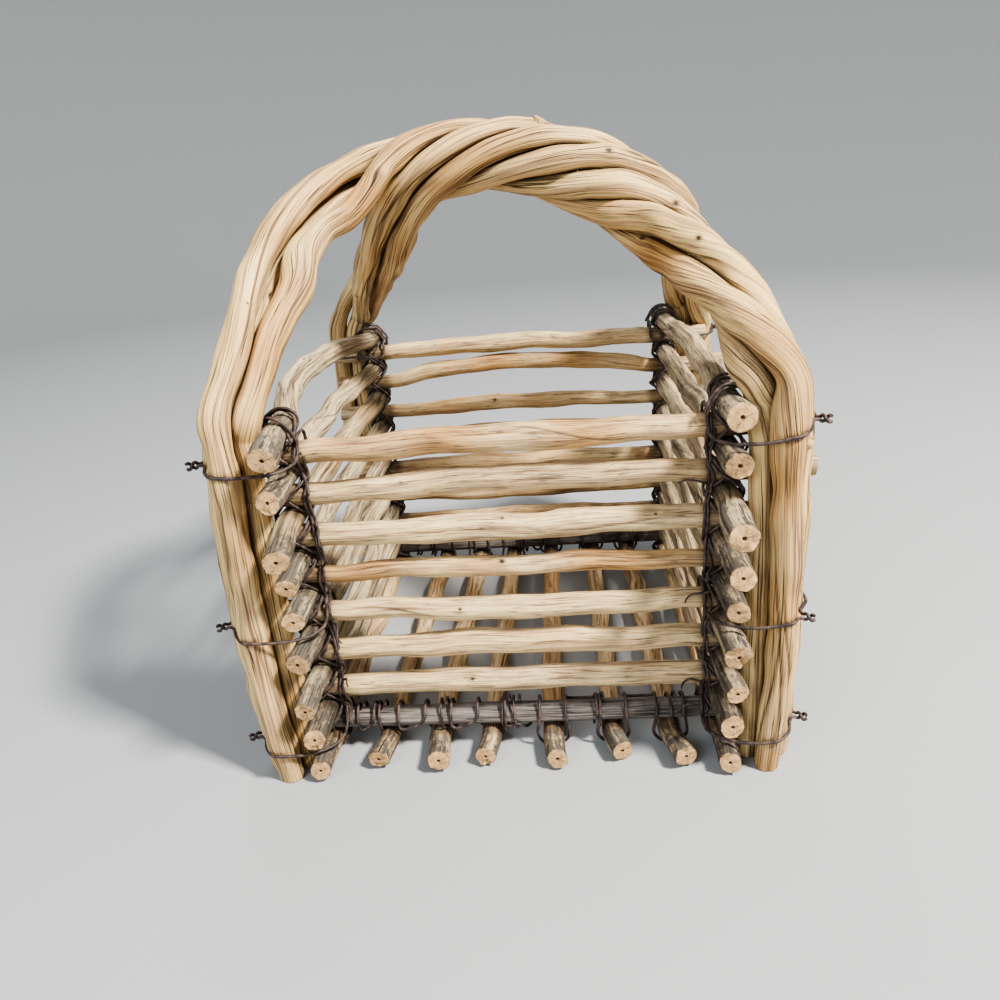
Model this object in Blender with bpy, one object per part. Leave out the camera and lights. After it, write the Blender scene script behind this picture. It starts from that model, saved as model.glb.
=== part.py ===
"""Mushroom foraging basket: stick walls stacked like a log cabin, with a twisted handle.

Eight layers of round sticks cross at four corners and are laced there with soft wire.
Six vines stand outside the corners, three at the front and three at the back, and twist
together over the basket into one thick arch.

+X runs to the right along the front wall, +Y to the back and +Z up. The origin lies on
the ground under the middle of the whole basket. Lengths are in metres, angles in degrees.
"""

import math

import bmesh
import bpy
import numpy as np
from mathutils import Vector

# The stack of sticks.
WALL_SPAN_X = 0.2150            # between the middles of the left and right corners
WALL_SPAN_Y = 0.2220            # between the middles of the front and back corners
LAYER_PITCH = 0.02285           # from one rail to the next rail of the same wall
LAYER_COUNT = 8
STICK_RADIUS = 0.0064
FLOOR_STICK_RADIUS = 0.0057
NOTCH_DEPTH = 0.0009            # how much a crossing flattens a stick, above and below
NOTCH_LENGTH = 0.0170           # of the flat that a crossing presses into a stick
FLAT_CUT = 0.0006               # how much the sawn end is slimmer than the stick
SEAT_GAP = 0.0003               # between pieces that touch

# How far the sticks run past the corners.
RAIL_OVERHANG = 0.0310
SIDE_OVERHANG_FRONT = 0.0400
SIDE_OVERHANG_BACK = 0.0220
FLOOR_OVERHANG_FRONT = 0.0270
FLOOR_OVERHANG_BACK = 0.0180

# The wire.
WIRE_RADIUS = 0.0010
WIRE_GAP = 0.00035              # between the wire and the wood that it is drawn against
GROUND_GAP = 0.0003             # under the wires that pass below the floor sticks
TIE_GAP = 0.0002                # between a tie and the vines that it is drawn round
TAIL_LENGTH = 0.0060            # of a lacing's cut ends
PIGTAIL_LENGTH = 0.0062         # of the two twisted ends of a tie
PIGTAIL_GAP = 0.0010            # between those two ends
PIGTAIL_TURNS = 0.80
TIE_BEND = 0.0060               # how far past a rail a tie is level again
TIE_MOUTH = 0.0040              # between the two ends of a tie where they leave its loop

# The handle.
VINE_RADIUS = 0.0065
VINE_GAP = 0.0011               # between two vines that lie against each other
LEAN_GAP = 0.0007               # between a vine and the corner that it leans on
LEG_STANDOFF = 0.0150           # from the middle of a corner out to the handle's leg
LEG_RISE = 0.0030               # from the wire over the top sticks to the spring of the arch
ARCH_RISE = 0.1060
ARCH_SKEW = 0.0058              # how much the arch is fuller on the left than on the right
ARCH_DRAW = 0.0020              # how much both shoulders of the arch are drawn in
ROPE_RADIUS = 0.0136            # from the middle of the twisted arch to a vine's middle
HANDLE_EASE = 0.0260            # length over which bends of the handle are rounded off
BACK_PULL = 0.0030              # the back vines cut the corner on the left by this much
ELBOW_DEPTH = 0.0060            # inward kink of the front inner vine on the left
HANG_DEPTH = 0.0100             # how far the same vine hangs under the arch past its kink
VINE_RINGS = 51
SETTLE_POINTS = 139

# Hand-chosen shares. A stick's girth is a share of its kind's radius, a run past the
# corner a share of its overhang, a lift or a bow a share of the layer pitch.
RAIL_GIRTH_SHARES = {
    "front": (1.04, 1.02, 1.06, 0.82, 0.96, 1.04, 1.01, 0.95),
    "back": (0.98, 0.92, 0.90, 0.95, 1.00, 0.92, 0.98, 0.95),
}
RAIL_LIFT_SHARES = {
    ("front", "left"): (-0.05, -0.03, -0.01, 0.00, 0.04, -0.01, -0.02, 0.00),
    ("front", "right"): (0.04, 0.04, 0.00, -0.03, -0.02, -0.02, 0.01, 0.00),
    ("back", "left"): (0.02, 0.05, 0.04, 0.03, 0.00, 0.00, 0.03, 0.00),
    ("back", "right"): (0.00, 0.04, 0.00, 0.00, 0.04, 0.00, 0.03, 0.00),
}
RAIL_BOW_SHARES = {
    "front": ((0.02, 0.03), (-0.06, 0.08), (0.05, 0.00), (0.00, 0.05),
              (0.02, -0.06), (0.00, 0.04), (0.04, 0.02), (0.00, 0.00)),
    "back": ((0.00, 0.08), (0.00, 0.42), (0.00, 0.10), (0.04, 0.12),
             (0.00, 0.05), (0.00, -0.04), (0.05, 0.00), (0.00, 0.00)),
}
RAIL_END_SHARES = {
    "left": (0.95, 0.90, 0.98, 0.85, 0.92, 0.88, 0.95, 0.86),
    "right": (0.95, 1.34, 0.95, 0.90, 1.00, 0.92, 0.96, 0.90),
}
SIDE_GIRTH_SHARES = {
    "left": (1.02, 0.92, 0.98, 0.86, 0.88, 0.98, 0.92, 0.94),
    "right": (1.00, 0.98, 1.00, 0.96, 0.90, 1.00, 0.88, 0.98),
}
SIDE_END_GIRTH_SHARES = {
    "left": (1.02, 0.92, 1.02, 0.84, 0.86, 1.00, 0.92, 0.94),
    "right": (1.04, 1.00, 1.08, 0.98, 0.90, 1.14, 0.86, 1.00),
}
SIDE_FRONT_SHARES = {
    "left": (1.15, 0.93, 1.40, 0.90, 0.78, 0.85, 1.00, 0.83),
    "right": (0.76, 0.72, 1.35, 1.08, 0.93, 0.98, 0.93, 0.83),
}
SIDE_BACK_SHARES = {
    "left": (0.86, 1.00, 0.92, 1.05, 0.95, 1.00, 0.90, 1.00),
    "right": (1.22, 0.95, 1.05, 1.00, 0.92, 1.04, 0.96, 1.00),
}
SIDE_SPLAY_SHARES = {
    "left": (0.20, 0.07, 0.17, 0.07, 0.02, -0.01, 0.01, 0.01),
    "right": (-0.02, -0.02, 0.05, -0.02, -0.03, -0.03, -0.03, -0.03),
}
SIDE_BOW_SHARES = {
    "left": ((0.66, 0.26), (0.24, 0.05), (0.10, 0.00), (0.06, 0.04),
             (0.00, 0.00), (0.06, 0.00), (-0.05, 0.03), (0.00, 0.00)),
    "right": ((0.12, 0.10), (0.04, 0.00), (0.00, 0.04), (0.05, 0.00),
              (0.00, 0.05), (-0.04, 0.00), (0.03, 0.00), (0.00, 0.00)),
}
FLOOR_PLACE_SHARES = {
    "front": (-1.00, -0.70, -0.43, -0.16, 0.16, 0.465, 0.75, 1.00),
    "back": (-1.00, -0.64, -0.375, -0.125, 0.155, 0.465, 0.72, 1.00),
}
FLOOR_GIRTH_SHARES = (1.00, 1.00, 1.04, 0.98, 1.02, 1.00, 1.05, 1.00)
FLOOR_FRONT_SHARES = (1.20, 0.90, 1.02, 0.87, 1.01, 0.80, 1.06, 1.28)
FLOOR_BACK_SHARES = (1.00, 0.90, 1.10, 0.85, 1.00, 0.95, 1.05, 1.00)
FLOOR_SPLAY_SHARES = (0.00, -0.16, 0.08, -0.12, 0.08, 0.28, 0.28, 0.00)

# The handle's legs, from foot to spring: heights as shares of the leg, places as shares
# of the handle's half width, spreads and girths as shares of the vine's radius.
LEG_HEIGHT_SHARES = (0.00, 0.30, 0.60, 0.88, 1.03)
LEG_PLACE_SHARES = {
    ("front", "left"): (1.036, 1.068, 1.068, 1.020, 0.970),
    ("front", "right"): (1.044, 1.062, 1.066, 1.052, 0.990),
    ("back", "left"): (1.044, 1.048, 1.040, 1.005, 0.930),
    ("back", "right"): (1.044, 1.048, 1.048, 1.036, 1.010),
}
LEG_SPREAD_SHARES = {
    "front": (1.06, 1.36, 1.30, 1.00, 1.02),
    "back": (1.10, 1.15, 1.15, 1.10, 1.10),
}
# The arch, from the left spring (0 degrees) to the right one (180): where the two rows
# of vines meet, how far the rope has turned, and how each row of three spins.
MEET_ANGLES = (-12.0, 66.0, 50.0)
ROPE_TURN_ANGLES = (
    (0.0, 0.0), (10.0, 0.0), (30.0, 12.0), (45.0, 30.0), (58.0, 72.0), (75.0, 128.0),
    (91.0, 186.0), (106.0, 242.0), (123.0, 302.0), (136.0, 348.0), (148.0, 360.0),
    (180.0, 360.0),
)
ROW_SPIN_ANGLES = {
    "front": ((0.0, 0.0), (15.0, 22.0), (30.0, 48.0), (45.0, 44.0), (58.0, 24.0), (70.0, 0.0),
              (126.0, 0.0), (140.0, 14.0), (160.0, 60.0), (175.0, 98.0), (190.0, 120.0)),
    "back": ((-30.0, 0.0), (-8.0, 40.0), (15.0, 76.0), (40.0, 82.0), (54.0, 48.0), (68.0, 10.0),
             (78.0, 0.0), (126.0, 0.0), (140.0, 14.0), (160.0, 60.0), (175.0, 98.0),
             (190.0, 120.0)),
}
ELBOW_ANGLES = (26.0, 7.0)
HANG_ANGLES = (50.0, 10.0)
VINE_GIRTH_SHARES = (
    (-20.0, 1.00), (6.0, 1.00), (34.0, 1.17), (58.0, 0.98), (78.0, 0.83), (95.0, 0.85),
    (120.0, 0.97), (160.0, 1.08), (200.0, 1.00),
)

# How much a tie rises for each length that it runs away from its corner.
TIE_RISE_SHARES = {
    ("front", "left"): 0.10, ("front", "right"): 0.22,
    ("back", "left"): 0.00, ("back", "right"): 0.00,
}

# How closely the rings follow each other along a vine, from its foot to the crown.
RING_DENSITY_SHARES = ((0.00, 0.40), (0.17, 0.40), (0.20, 1.60), (0.29, 1.60), (0.31, 1.00))

# Counts and tables of the wire work.
TIE_LEVELS = {"front": (1, 5, 8), "back": (1,)}
TIE_NAMES = {1: "upper", 5: "middle", 8: "lower"}
STICK_SIDES = 8
FRONT_LASHED_STICKS = (5, 6, 7)
BOW_RINGS = 5
SETTLE_STEPS = 60
SETTLE_LAST_STEPS = 24
SETTLE_EASE_SHARE = 0.25
PIGTAIL_POINTS = 6
QUARTER = math.radians(90.0)

SIDE_SIGN = {"left": -1.0, "right": 1.0}
WALL_SIGN = {"front": -1.0, "back": 1.0}
OCTAGON = math.radians(360.0 / STICK_SIDES / 2.0)
MOUTH_TURN = math.radians(24.0)


# Heights and places of the sticks.

def radius_of(kind, group, number):
    """Radius of a stick: kind is rail, side or floor, number counts from 1."""
    if kind == "rail":
        return STICK_RADIUS * RAIL_GIRTH_SHARES[group][number - 1]
    if kind == "side":
        return STICK_RADIUS * SIDE_GIRTH_SHARES[group][number - 1]
    return FLOOR_STICK_RADIUS * FLOOR_GIRTH_SHARES[number - 1]


def rail_half_height(wall, level):
    """Half the height of a rail where another stick crosses it."""
    return radius_of("rail", wall, level) - NOTCH_DEPTH


def floor_half_height(number):
    """Half the height of a floor stick under the base rails."""
    return radius_of("floor", None, number) - NOTCH_DEPTH


def base_rail_height():
    """Height of the base rails, which lie on the thickest floor stick."""
    thickest = max(floor_half_height(n + 1) for n in range(LAYER_COUNT))
    under = GROUND_GAP + 2.0 * WIRE_RADIUS + WIRE_GAP
    rail = max(rail_half_height(wall, LAYER_COUNT) for wall in WALL_SIGN)
    return under + 2.0 * thickest + SEAT_GAP + rail


def rail_height(wall, side, level):
    """Height of a rail's middle over a corner; level 1 is the top rail."""
    lift = RAIL_LIFT_SHARES[wall, side][level - 1]
    return base_rail_height() + (LAYER_COUNT - level + lift) * LAYER_PITCH


def side_seat(wall, side, level):
    """Middle height and half height of a side stick over a corner."""
    top_of_rail = rail_height(wall, side, level) + rail_half_height(wall, level)
    if level == 1:
        half = radius_of("side", side, level) - NOTCH_DEPTH
        return top_of_rail + SEAT_GAP + half, half
    under_rail = rail_height(wall, side, level - 1) - rail_half_height(wall, level - 1)
    half = (under_rail - top_of_rail) / 2.0 - SEAT_GAP
    return (under_rail + top_of_rail) / 2.0, half


def floor_seat(wall, number):
    """Middle height and half height of a floor stick under a base rail."""
    half = floor_half_height(number)
    rail = rail_height(wall, "left", LAYER_COUNT) - rail_half_height(wall, LAYER_COUNT)
    return rail - SEAT_GAP - half, half


def floor_place(wall, number):
    """Place of a floor stick along a base rail."""
    return FLOOR_PLACE_SHARES[wall][number - 1] * WALL_SPAN_X / 2.0


def side_place(side, level, along):
    """Place across the basket of a side stick's middle, at a place along Y."""
    sign = SIDE_SIGN[side]
    past = max(0.0, -along - WALL_SPAN_Y / 2.0 - NOTCH_LENGTH / 2.0)
    splay = SIDE_SPLAY_SHARES[side][level - 1]
    return sign * (WALL_SPAN_X / 2.0 - splay * past)


# Solids.

def material(name, colour, roughness, metallic):
    """A plain painted or bare surface."""
    made = bpy.data.materials.new(name)
    made.use_nodes = True
    shader = made.node_tree.nodes["Principled BSDF"]
    shader.inputs["Base Color"].default_value = (*colour, 1.0)
    shader.inputs["Roughness"].default_value = roughness
    shader.inputs["Metallic"].default_value = metallic
    made.diffuse_color = (*colour, 1.0)
    return made


def add_object(name, data, finish, basket, location):
    """Put a mesh or a curve into the scene as one named piece of the basket."""
    piece = bpy.data.objects.new(name, data)
    data.materials.append(finish)
    piece.parent = basket
    piece.location = location
    bpy.context.collection.objects.link(piece)
    return piece


def loft(name, rings):
    """A closed bar skinned over rings of points, with a flat cap at each end."""
    bm = bmesh.new()
    skin = [[bm.verts.new(point) for point in ring] for ring in rings]
    sides = len(skin[0])
    for here, there in zip(skin, skin[1:]):
        for i in range(sides):
            j = (i + 1) % sides
            bm.faces.new((here[i], here[j], there[j], there[i]))
    bm.faces.new(skin[0][::-1])
    bm.faces.new(skin[-1])
    bmesh.ops.recalc_face_normals(bm, faces=bm.faces)
    mesh = bpy.data.meshes.new(name)
    bm.to_mesh(mesh)
    bm.free()
    mesh.shade_smooth()
    mesh.set_sharp_from_angle(angle=math.radians(60.0))
    return mesh


def stick_ring(along, across, height, half_width, half_height):
    """Octagon across a stick that runs along X, with flats above, below and beside."""
    ring = []
    for i in range(STICK_SIDES):
        turn = OCTAGON * (2 * i + 1)
        y = across + half_width * math.cos(turn) / math.cos(OCTAGON)
        z = height + half_height * math.sin(turn) / math.cos(OCTAGON)
        ring.append((along, y, z))
    return ring


def stick_mesh(name, radius, span, seats, ends, bow, flat=False):
    """A stick along X with a flattened seat over each of its two crossings.

    span is the length between the crossings. seats holds (place across, height, half
    height) for each crossing and ends holds (overhang, shift across, radius) for each
    end. bow is (across, up), the most that the stick bends between its crossings. A flat
    stick keeps the height of its seats all the way between them.
    """
    half_span = span / 2.0
    half_notch = NOTCH_LENGTH / 2.0
    inner = BOW_RINGS if max(abs(bow[0]), abs(bow[1])) > 0.2 * LAYER_PITCH else 2
    rings = []
    for end, (overhang, shift, end_radius) in enumerate(ends):
        sign = -1.0 if end == 0 else 1.0
        across, height, half_height = seats[end]
        tip = (sign * (half_span + overhang), across + shift, height, end_radius, end_radius)
        outer = (sign * (half_span + half_notch), across, height, radius, half_height)
        near = (sign * (half_span - half_notch), across, height, radius, half_height)
        rings.append([tip, outer, near] if end == 0 else [near, outer, tip])
    between = []
    for i in range(1, inner + 1):
        share = i / (inner + 1.0)
        along = (2.0 * share - 1.0) * (half_span - half_notch)
        lift = math.sin(math.pi * share) ** 0.8
        across = seats[0][0] + (seats[1][0] - seats[0][0]) * share + bow[0] * lift
        height = seats[0][1] + (seats[1][1] - seats[0][1]) * share + bow[1] * lift
        half_height = seats[0][2] if flat else radius
        between.append((along, across, height, radius, half_height))
    return loft(name, [stick_ring(*ring) for ring in rings[0] + between + rings[1]])


def wire_curve(name, points):
    """One unbroken round wire through the points, with closed ends."""
    curve = bpy.data.curves.new(name, "CURVE")
    curve.dimensions = "3D"
    curve.bevel_depth = WIRE_RADIUS
    curve.bevel_resolution = 1
    curve.use_fill_caps = True
    spline = curve.splines.new("POLY")
    spline.points.add(len(points) - 1)
    for slot, point in zip(spline.points, points):
        slot.co = (*point, 1.0)
    print(name, "least gap to itself", round(self_gap(points), 5))
    return curve


def self_gap(points):
    """Least gap between parts of a wire that lie more than a few widths apart on it."""
    path = np.array(points)
    steps = np.linalg.norm(np.diff(path, axis=0), axis=1)
    run = np.concatenate([[0.0], np.cumsum(steps)])
    places = np.linspace(0.0, run[-1], int(run[-1] / WIRE_RADIUS))
    fine = np.stack([np.interp(places, run, path[:, i]) for i in range(3)], axis=1)
    apart = np.linalg.norm(fine[:, None] - fine[None], axis=2)
    near = np.abs(places[:, None] - places[None]) < 8.0 * WIRE_RADIUS
    return float(np.where(near, np.inf, apart).min()) - 2.0 * WIRE_RADIUS


# The walls and the floor.

def build_rails(finishes, basket):
    """The front and back rails, level 1 on top."""
    for wall, sign in WALL_SIGN.items():
        for level in range(1, LAYER_COUNT + 1):
            name = f"{wall}_rail_{level}"
            radius = radius_of("rail", wall, level)
            half = rail_half_height(wall, level)
            heights = [rail_height(wall, side, level) for side in SIDE_SIGN]
            middle = sum(heights) / 2.0
            seats = [(0.0, height - middle, half) for height in heights]
            ends = [
                (RAIL_OVERHANG * RAIL_END_SHARES[side][level - 1], 0.0, radius - FLAT_CUT)
                for side in SIDE_SIGN
            ]
            sway, lift = RAIL_BOW_SHARES[wall][level - 1]
            bow = (sign * sway * LAYER_PITCH, lift * LAYER_PITCH)
            base = level == LAYER_COUNT
            mesh = stick_mesh(name, radius, WALL_SPAN_X, seats, ends, bow, flat=base)
            finish = finishes["base" if base else "rail"]
            add_object(name, mesh, finish, basket, (0.0, sign * WALL_SPAN_Y / 2.0, middle))


def build_side_sticks(finishes, basket):
    """The left and right side sticks; each lies on the rails of its own level."""
    for side, sign in SIDE_SIGN.items():
        for level in range(1, LAYER_COUNT + 1):
            name = f"{side}_stick_{level}"
            radius = radius_of("side", side, level)
            places = [side_seat(wall, side, level) for wall in WALL_SIGN]
            middle = sum(height for height, half in places) / 2.0
            seats = [(0.0, height - middle, half) for height, half in places]
            front = SIDE_OVERHANG_FRONT * SIDE_FRONT_SHARES[side][level - 1]
            back = SIDE_OVERHANG_BACK * SIDE_BACK_SHARES[side][level - 1]
            splay = SIDE_SPLAY_SHARES[side][level - 1] * (front - NOTCH_LENGTH / 2.0)
            end_radius = STICK_RADIUS * SIDE_END_GIRTH_SHARES[side][level - 1]
            # Turned to run along Y, a stick's own +Y looks along -X.
            ends = [(front, sign * splay, end_radius), (back, 0.0, radius - FLAT_CUT)]
            sway, lift = SIDE_BOW_SHARES[side][level - 1]
            bow = (-sign * sway * LAYER_PITCH, lift * LAYER_PITCH)
            mesh = stick_mesh(name, radius, WALL_SPAN_Y, seats, ends, bow)
            place = (sign * WALL_SPAN_X / 2.0, 0.0, middle)
            add_object(name, mesh, finishes["side"], basket, place).rotation_euler.z = QUARTER


def build_floor_sticks(finishes, basket):
    """The floor sticks under the base rails, the outer two below the side sticks."""
    for number in range(1, LAYER_COUNT + 1):
        name = f"floor_stick_{number}"
        radius = radius_of("floor", None, number)
        seats = []
        for wall in WALL_SIGN:
            height, half = floor_seat(wall, number)
            seats.append((-floor_place(wall, number), height, half))
        front = FLOOR_OVERHANG_FRONT * FLOOR_FRONT_SHARES[number - 1]
        back = FLOOR_OVERHANG_BACK * FLOOR_BACK_SHARES[number - 1]
        splay = FLOOR_SPLAY_SHARES[number - 1] * (front - NOTCH_LENGTH / 2.0)
        ends = [(front, -splay, radius), (back, 0.0, radius - FLAT_CUT)]
        mesh = stick_mesh(name, radius, WALL_SPAN_Y, seats, ends, (0.0, 0.0))
        add_object(name, mesh, finishes["floor"], basket, (0, 0, 0)).rotation_euler.z = QUARTER


# The handle.

def ease(share):
    """A rise from 0 to 1 that starts and ends level."""
    share = np.clip(share, 0.0, 1.0)
    return share * share * (3.0 - 2.0 * share)


def smoothed(values, width):
    """Running mean over an odd number of samples, straight on past both ends."""
    width = max(3, int(width) | 1)
    side = width // 2
    columns = values[:, None] if values.ndim == 1 else values
    done = []
    for column in columns.T:
        before = 2.0 * column[0] - column[1:side + 1][::-1]
        after = 2.0 * column[-1] - column[-side - 1:-1][::-1]
        padded = np.concatenate([before, column, after])
        done.append(np.convolve(padded, np.ones(width) / width, "valid"))
    return done[0] if values.ndim == 1 else np.stack(done, axis=1)


def unit(vectors):
    """Each vector made one long."""
    return vectors / np.linalg.norm(vectors, axis=1)[:, None]


def column(values):
    """A row of numbers as a column, to scale vectors with."""
    return np.asarray(values)[:, None]


def leg_height():
    """Height at which the legs end and the arch starts."""
    return stack_top() + LEG_RISE


def half_width():
    """From the middle of the basket to the handle's legs."""
    return WALL_SPAN_X / 2.0 + LEG_STANDOFF


def lay_vines():
    """Middle lines of the six vines from left foot to right foot, and their radii.

    Each wall's three vines stand in a row with one pushed outward. The two rows lean in
    over the basket, meet, and turn round each other as a rope of six.
    """
    leg = leg_height()
    arch = math.pi * (half_width() + ARCH_RISE) / 2.0
    run = np.linspace(-leg, arch + leg, SETTLE_POINTS)
    width = HANDLE_EASE / (run[1] - run[0])
    angle = run / arch * 180.0
    on_leg = (run < 0.0) | (run > arch)
    left = angle < 90.0
    leg_share = np.where(on_leg, np.where(left, 1.0 + run / leg,
                                          1.0 - (run - arch) / leg), 1.03)
    turn = np.radians(np.clip(angle, 0.0, 180.0))

    base = {}
    for wall in WALL_SIGN:
        spots = {side: np.interp(leg_share, LEG_HEIGHT_SHARES, LEG_PLACE_SHARES[wall, side])
                 for side in SIDE_SIGN}
        level = (1.0 + np.cos(turn)) / 2.0
        half = half_width() * np.where(
            on_leg, np.where(left, spots["left"], spots["right"]),
            spots["left"] * level + spots["right"] * (1.0 - level))
        fuller = ARCH_SKEW * np.sin(2.0 * turn) * np.sin(turn) ** 2
        drawn = ARCH_DRAW * np.sin(2.0 * turn) ** 2
        over = leg + ARCH_RISE * np.sin(turn) + fuller - drawn
        height = np.where(on_leg, leg_share * leg, over)
        line = np.stack([-half * np.cos(turn), np.zeros_like(run), height], axis=1)
        base[wall] = smoothed(line, width)

    along = unit(np.gradient(base["front"], axis=0))
    outward = np.stack([-along[:, 2], np.zeros_like(run), along[:, 0]], axis=1)
    back_way = np.array([0.0, 1.0, 0.0])
    start, meet_left, meet_right = MEET_ANGLES
    share = np.where(left, (angle - start) / (meet_left - start),
                     (180.0 - angle - start) / (meet_right - start))
    joined = ease(share)
    row_place = WALL_SPAN_Y / 2.0 + widest_rail() + SEAT_GAP + VINE_RADIUS
    reach = row_place + (ROPE_RADIUS / 2.0 - row_place) * joined
    rope_turn = np.radians(smoothed(np.interp(angle, *zip(*ROPE_TURN_ANGLES)), width))
    girth = VINE_RADIUS * smoothed(np.interp(angle, *zip(*VINE_GIRTH_SHARES)), width)
    apart = 2.0 * girth + VINE_GAP
    apart = apart + (ROPE_RADIUS * 1.02 - apart) * joined

    def across(turned, tangent):
        way = column(np.cos(turned)) * outward + column(np.sin(turned)) * back_way
        way = way - column((way * tangent).sum(axis=1)) * tangent
        return unit(way)

    vines = {}
    for wall, sign in (("front", 1.0), ("back", -1.0)):
        line = base[wall]
        if wall == "back":
            pull = np.where(left, BACK_PULL, 0.0) * np.sin(np.pi * np.clip(share, 0, 1)) ** 2
            line = line - outward * column(pull)
        way = column(np.cos(rope_turn)) * -back_way + column(np.sin(rope_turn)) * outward
        middle = smoothed(line + sign * column(reach) * way, width / 2.0)
        tangent = unit(np.gradient(middle, axis=0))
        tangent = unit(tangent * column(1.0 - joined) + along * column(joined))
        spin = smoothed(np.interp(angle, *zip(*ROW_SPIN_ANGLES[wall])), width)
        row = across(rope_turn + np.radians(spin), tangent)
        row_front = np.cross(tangent, row)
        rope_front = np.cross(tangent, across(rope_turn, tangent))
        spread = VINE_RADIUS * np.interp(np.clip(leg_share, 0, 1.03), LEG_HEIGHT_SHARES,
                                         LEG_SPREAD_SHARES[wall])
        third = math.radians(60.0)
        half_row = smoothed(spread + (ROPE_RADIUS * math.sin(third) - spread) * joined, width)
        depth = np.sqrt(np.maximum(apart ** 2 - half_row ** 2, VINE_GAP ** 2))
        centre = middle + sign * column(depth / 3.0) * rope_front
        back_step = sign * column(depth / 3.0) * row_front
        vines[wall, "outer"] = centre + column(half_row) * row - back_step
        vines[wall, "inner"] = centre - column(half_row) * row - back_step
        vines[wall, "middle"] = centre + 2.0 * back_step
    settle(vines, girth)
    for depth, (at, wide) in ((ELBOW_DEPTH, ELBOW_ANGLES), (HANG_DEPTH, HANG_ANGLES)):
        kink = depth * np.exp(-((angle - at) / wide) ** 2)
        vines["front", "inner"] = vines["front", "inner"] - outward * column(kink)
    return vines, girth


def widest_rail():
    """Radius of the thickest rail."""
    return STICK_RADIUS * max(max(shares) for shares in RAIL_GIRTH_SHARES.values())


def stick_walls():
    """What the legs lean on: (wall, side, axis, places on the two other axes, radius, top)."""
    walls = []
    round_up = 1.0 / math.cos(OCTAGON)
    row = WALL_SPAN_Y / 2.0 + widest_rail() + VINE_RADIUS
    for wall, wall_sign in WALL_SIGN.items():
        at_wall = wall_sign * WALL_SPAN_Y / 2.0
        for side in SIDE_SIGN:
            for level in range(1, LAYER_COUNT + 1):
                place = (at_wall, rail_height(wall, side, level))
                radius = radius_of("rail", wall, level) * round_up
                walls.append((wall, side, 0, place, radius))
                place = (side_place(side, level, wall_sign * row),
                         side_seat(wall, side, level)[0])
                radius = max(SIDE_GIRTH_SHARES[side][level - 1],
                             SIDE_END_GIRTH_SHARES[side][level - 1])
                walls.append((wall, side, 1, place, radius * STICK_RADIUS * round_up))
            number = 1 if side == "left" else LAYER_COUNT
            place = (floor_place(wall, number), floor_seat(wall, number)[0])
            radius = radius_of("floor", None, number) * round_up
            walls.append((wall, side, 1, place, radius))
            place = (SIDE_SIGN[side] * WALL_SPAN_X / 2.0, at_wall)
            walls.append((wall, side, 2, place, widest_rail() + WIRE_GAP + 3.5 * WIRE_RADIUS))
    return walls


def settle(vines, girth):
    """Ease the vines' bends and push them apart until none lies in another or a stick."""
    names = list(vines)
    rows = np.arange(len(girth))
    need = girth[:, None] + girth[None] + VINE_GAP
    walls = stick_walls()
    for step in range(SETTLE_STEPS + SETTLE_LAST_STEPS):
        if step < SETTLE_STEPS:
            for name in names:
                path = vines[name]
                bend = (path[:-2] + path[2:]) / 2.0 - path[1:-1]
                path[1:-1] = path[1:-1] + bend * SETTLE_EASE_SHARE
        for i, one in enumerate(names):
            for other in names[i + 1:]:
                a, b = vines[one], vines[other]
                spare = np.linalg.norm(a[:, None] - b[None], axis=2) - need
                vines[one] = a + push(a, b[spare.argmin(axis=1)], spare.min(axis=1))
                vines[other] = b + push(b, a[spare.argmin(axis=0)], spare.min(axis=0))
        for wall, part in names:
            for at_wall, side, axis, place, radius in walls:
                if at_wall == wall:
                    lean(vines[wall, part], girth, wall, side, axis, place, radius)


def lean(path, girth, wall, side, axis, place, radius):
    """Push a vine out of one stick or out of a corner's wire, straight off the basket."""
    pushed = 0 if axis == 1 else 1
    other = 0 if axis == 2 else 2
    sign = SIDE_SIGN[side] if pushed == 0 else WALL_SIGN[wall]
    spots = dict(zip([spare for spare in range(3) if spare != axis], place))
    need = radius + LEAN_GAP + girth
    beside = path[:, other] - spots[other]
    reach = np.sqrt(np.maximum(need ** 2 - beside ** 2, 0.0))
    short = np.maximum(reach - sign * (path[:, pushed] - spots[pushed]), 0.0)
    here = (path[:, 0] < 0.0) == (side == "left")
    here &= np.abs(beside) < need
    if axis == 2:
        here &= path[:, 2] < stack_top() + girth
    moved = sign * np.where(here, short, 0.0)
    path[1:-1, pushed] += moved[1:-1]


def stack_top():
    """Height of the wire over the top side sticks."""
    seats = [side_seat(wall, side, 1) for wall in WALL_SIGN for side in SIDE_SIGN]
    highest = max(height for height, half in seats)
    return highest + STICK_RADIUS + WIRE_GAP + 2.0 * WIRE_RADIUS


def push(path, nearest, spare):
    """Half of the way out of an overlap for each point; the feet keep their places."""
    way = path - nearest
    length = np.maximum(np.linalg.norm(way, axis=1), WIRE_GAP)
    moved = way / column(length) * column(np.maximum(-spare, 0.0) / 2.0)
    moved[0] = 0.0
    moved[-1] = 0.0
    return moved


def build_vines(finishes, basket, vines, girth):
    """The six vines as round bars with flat feet on the ground."""
    for (wall, part), path in vines.items():
        name = f"{wall}_vine_{part}"
        picks = ring_picks(len(path))
        spots = [np.interp(picks, np.arange(len(path)), path[:, i]) for i in range(3)]
        line = [Vector(point) for point in zip(*spots)]
        radii = np.interp(picks, np.arange(len(path)), girth)
        line[0].z = 0.0
        line[-1].z = 0.0
        add_object(name, loft(name, tube_rings(line, radii)), finishes["vine"], basket, (0, 0, 0))


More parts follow.
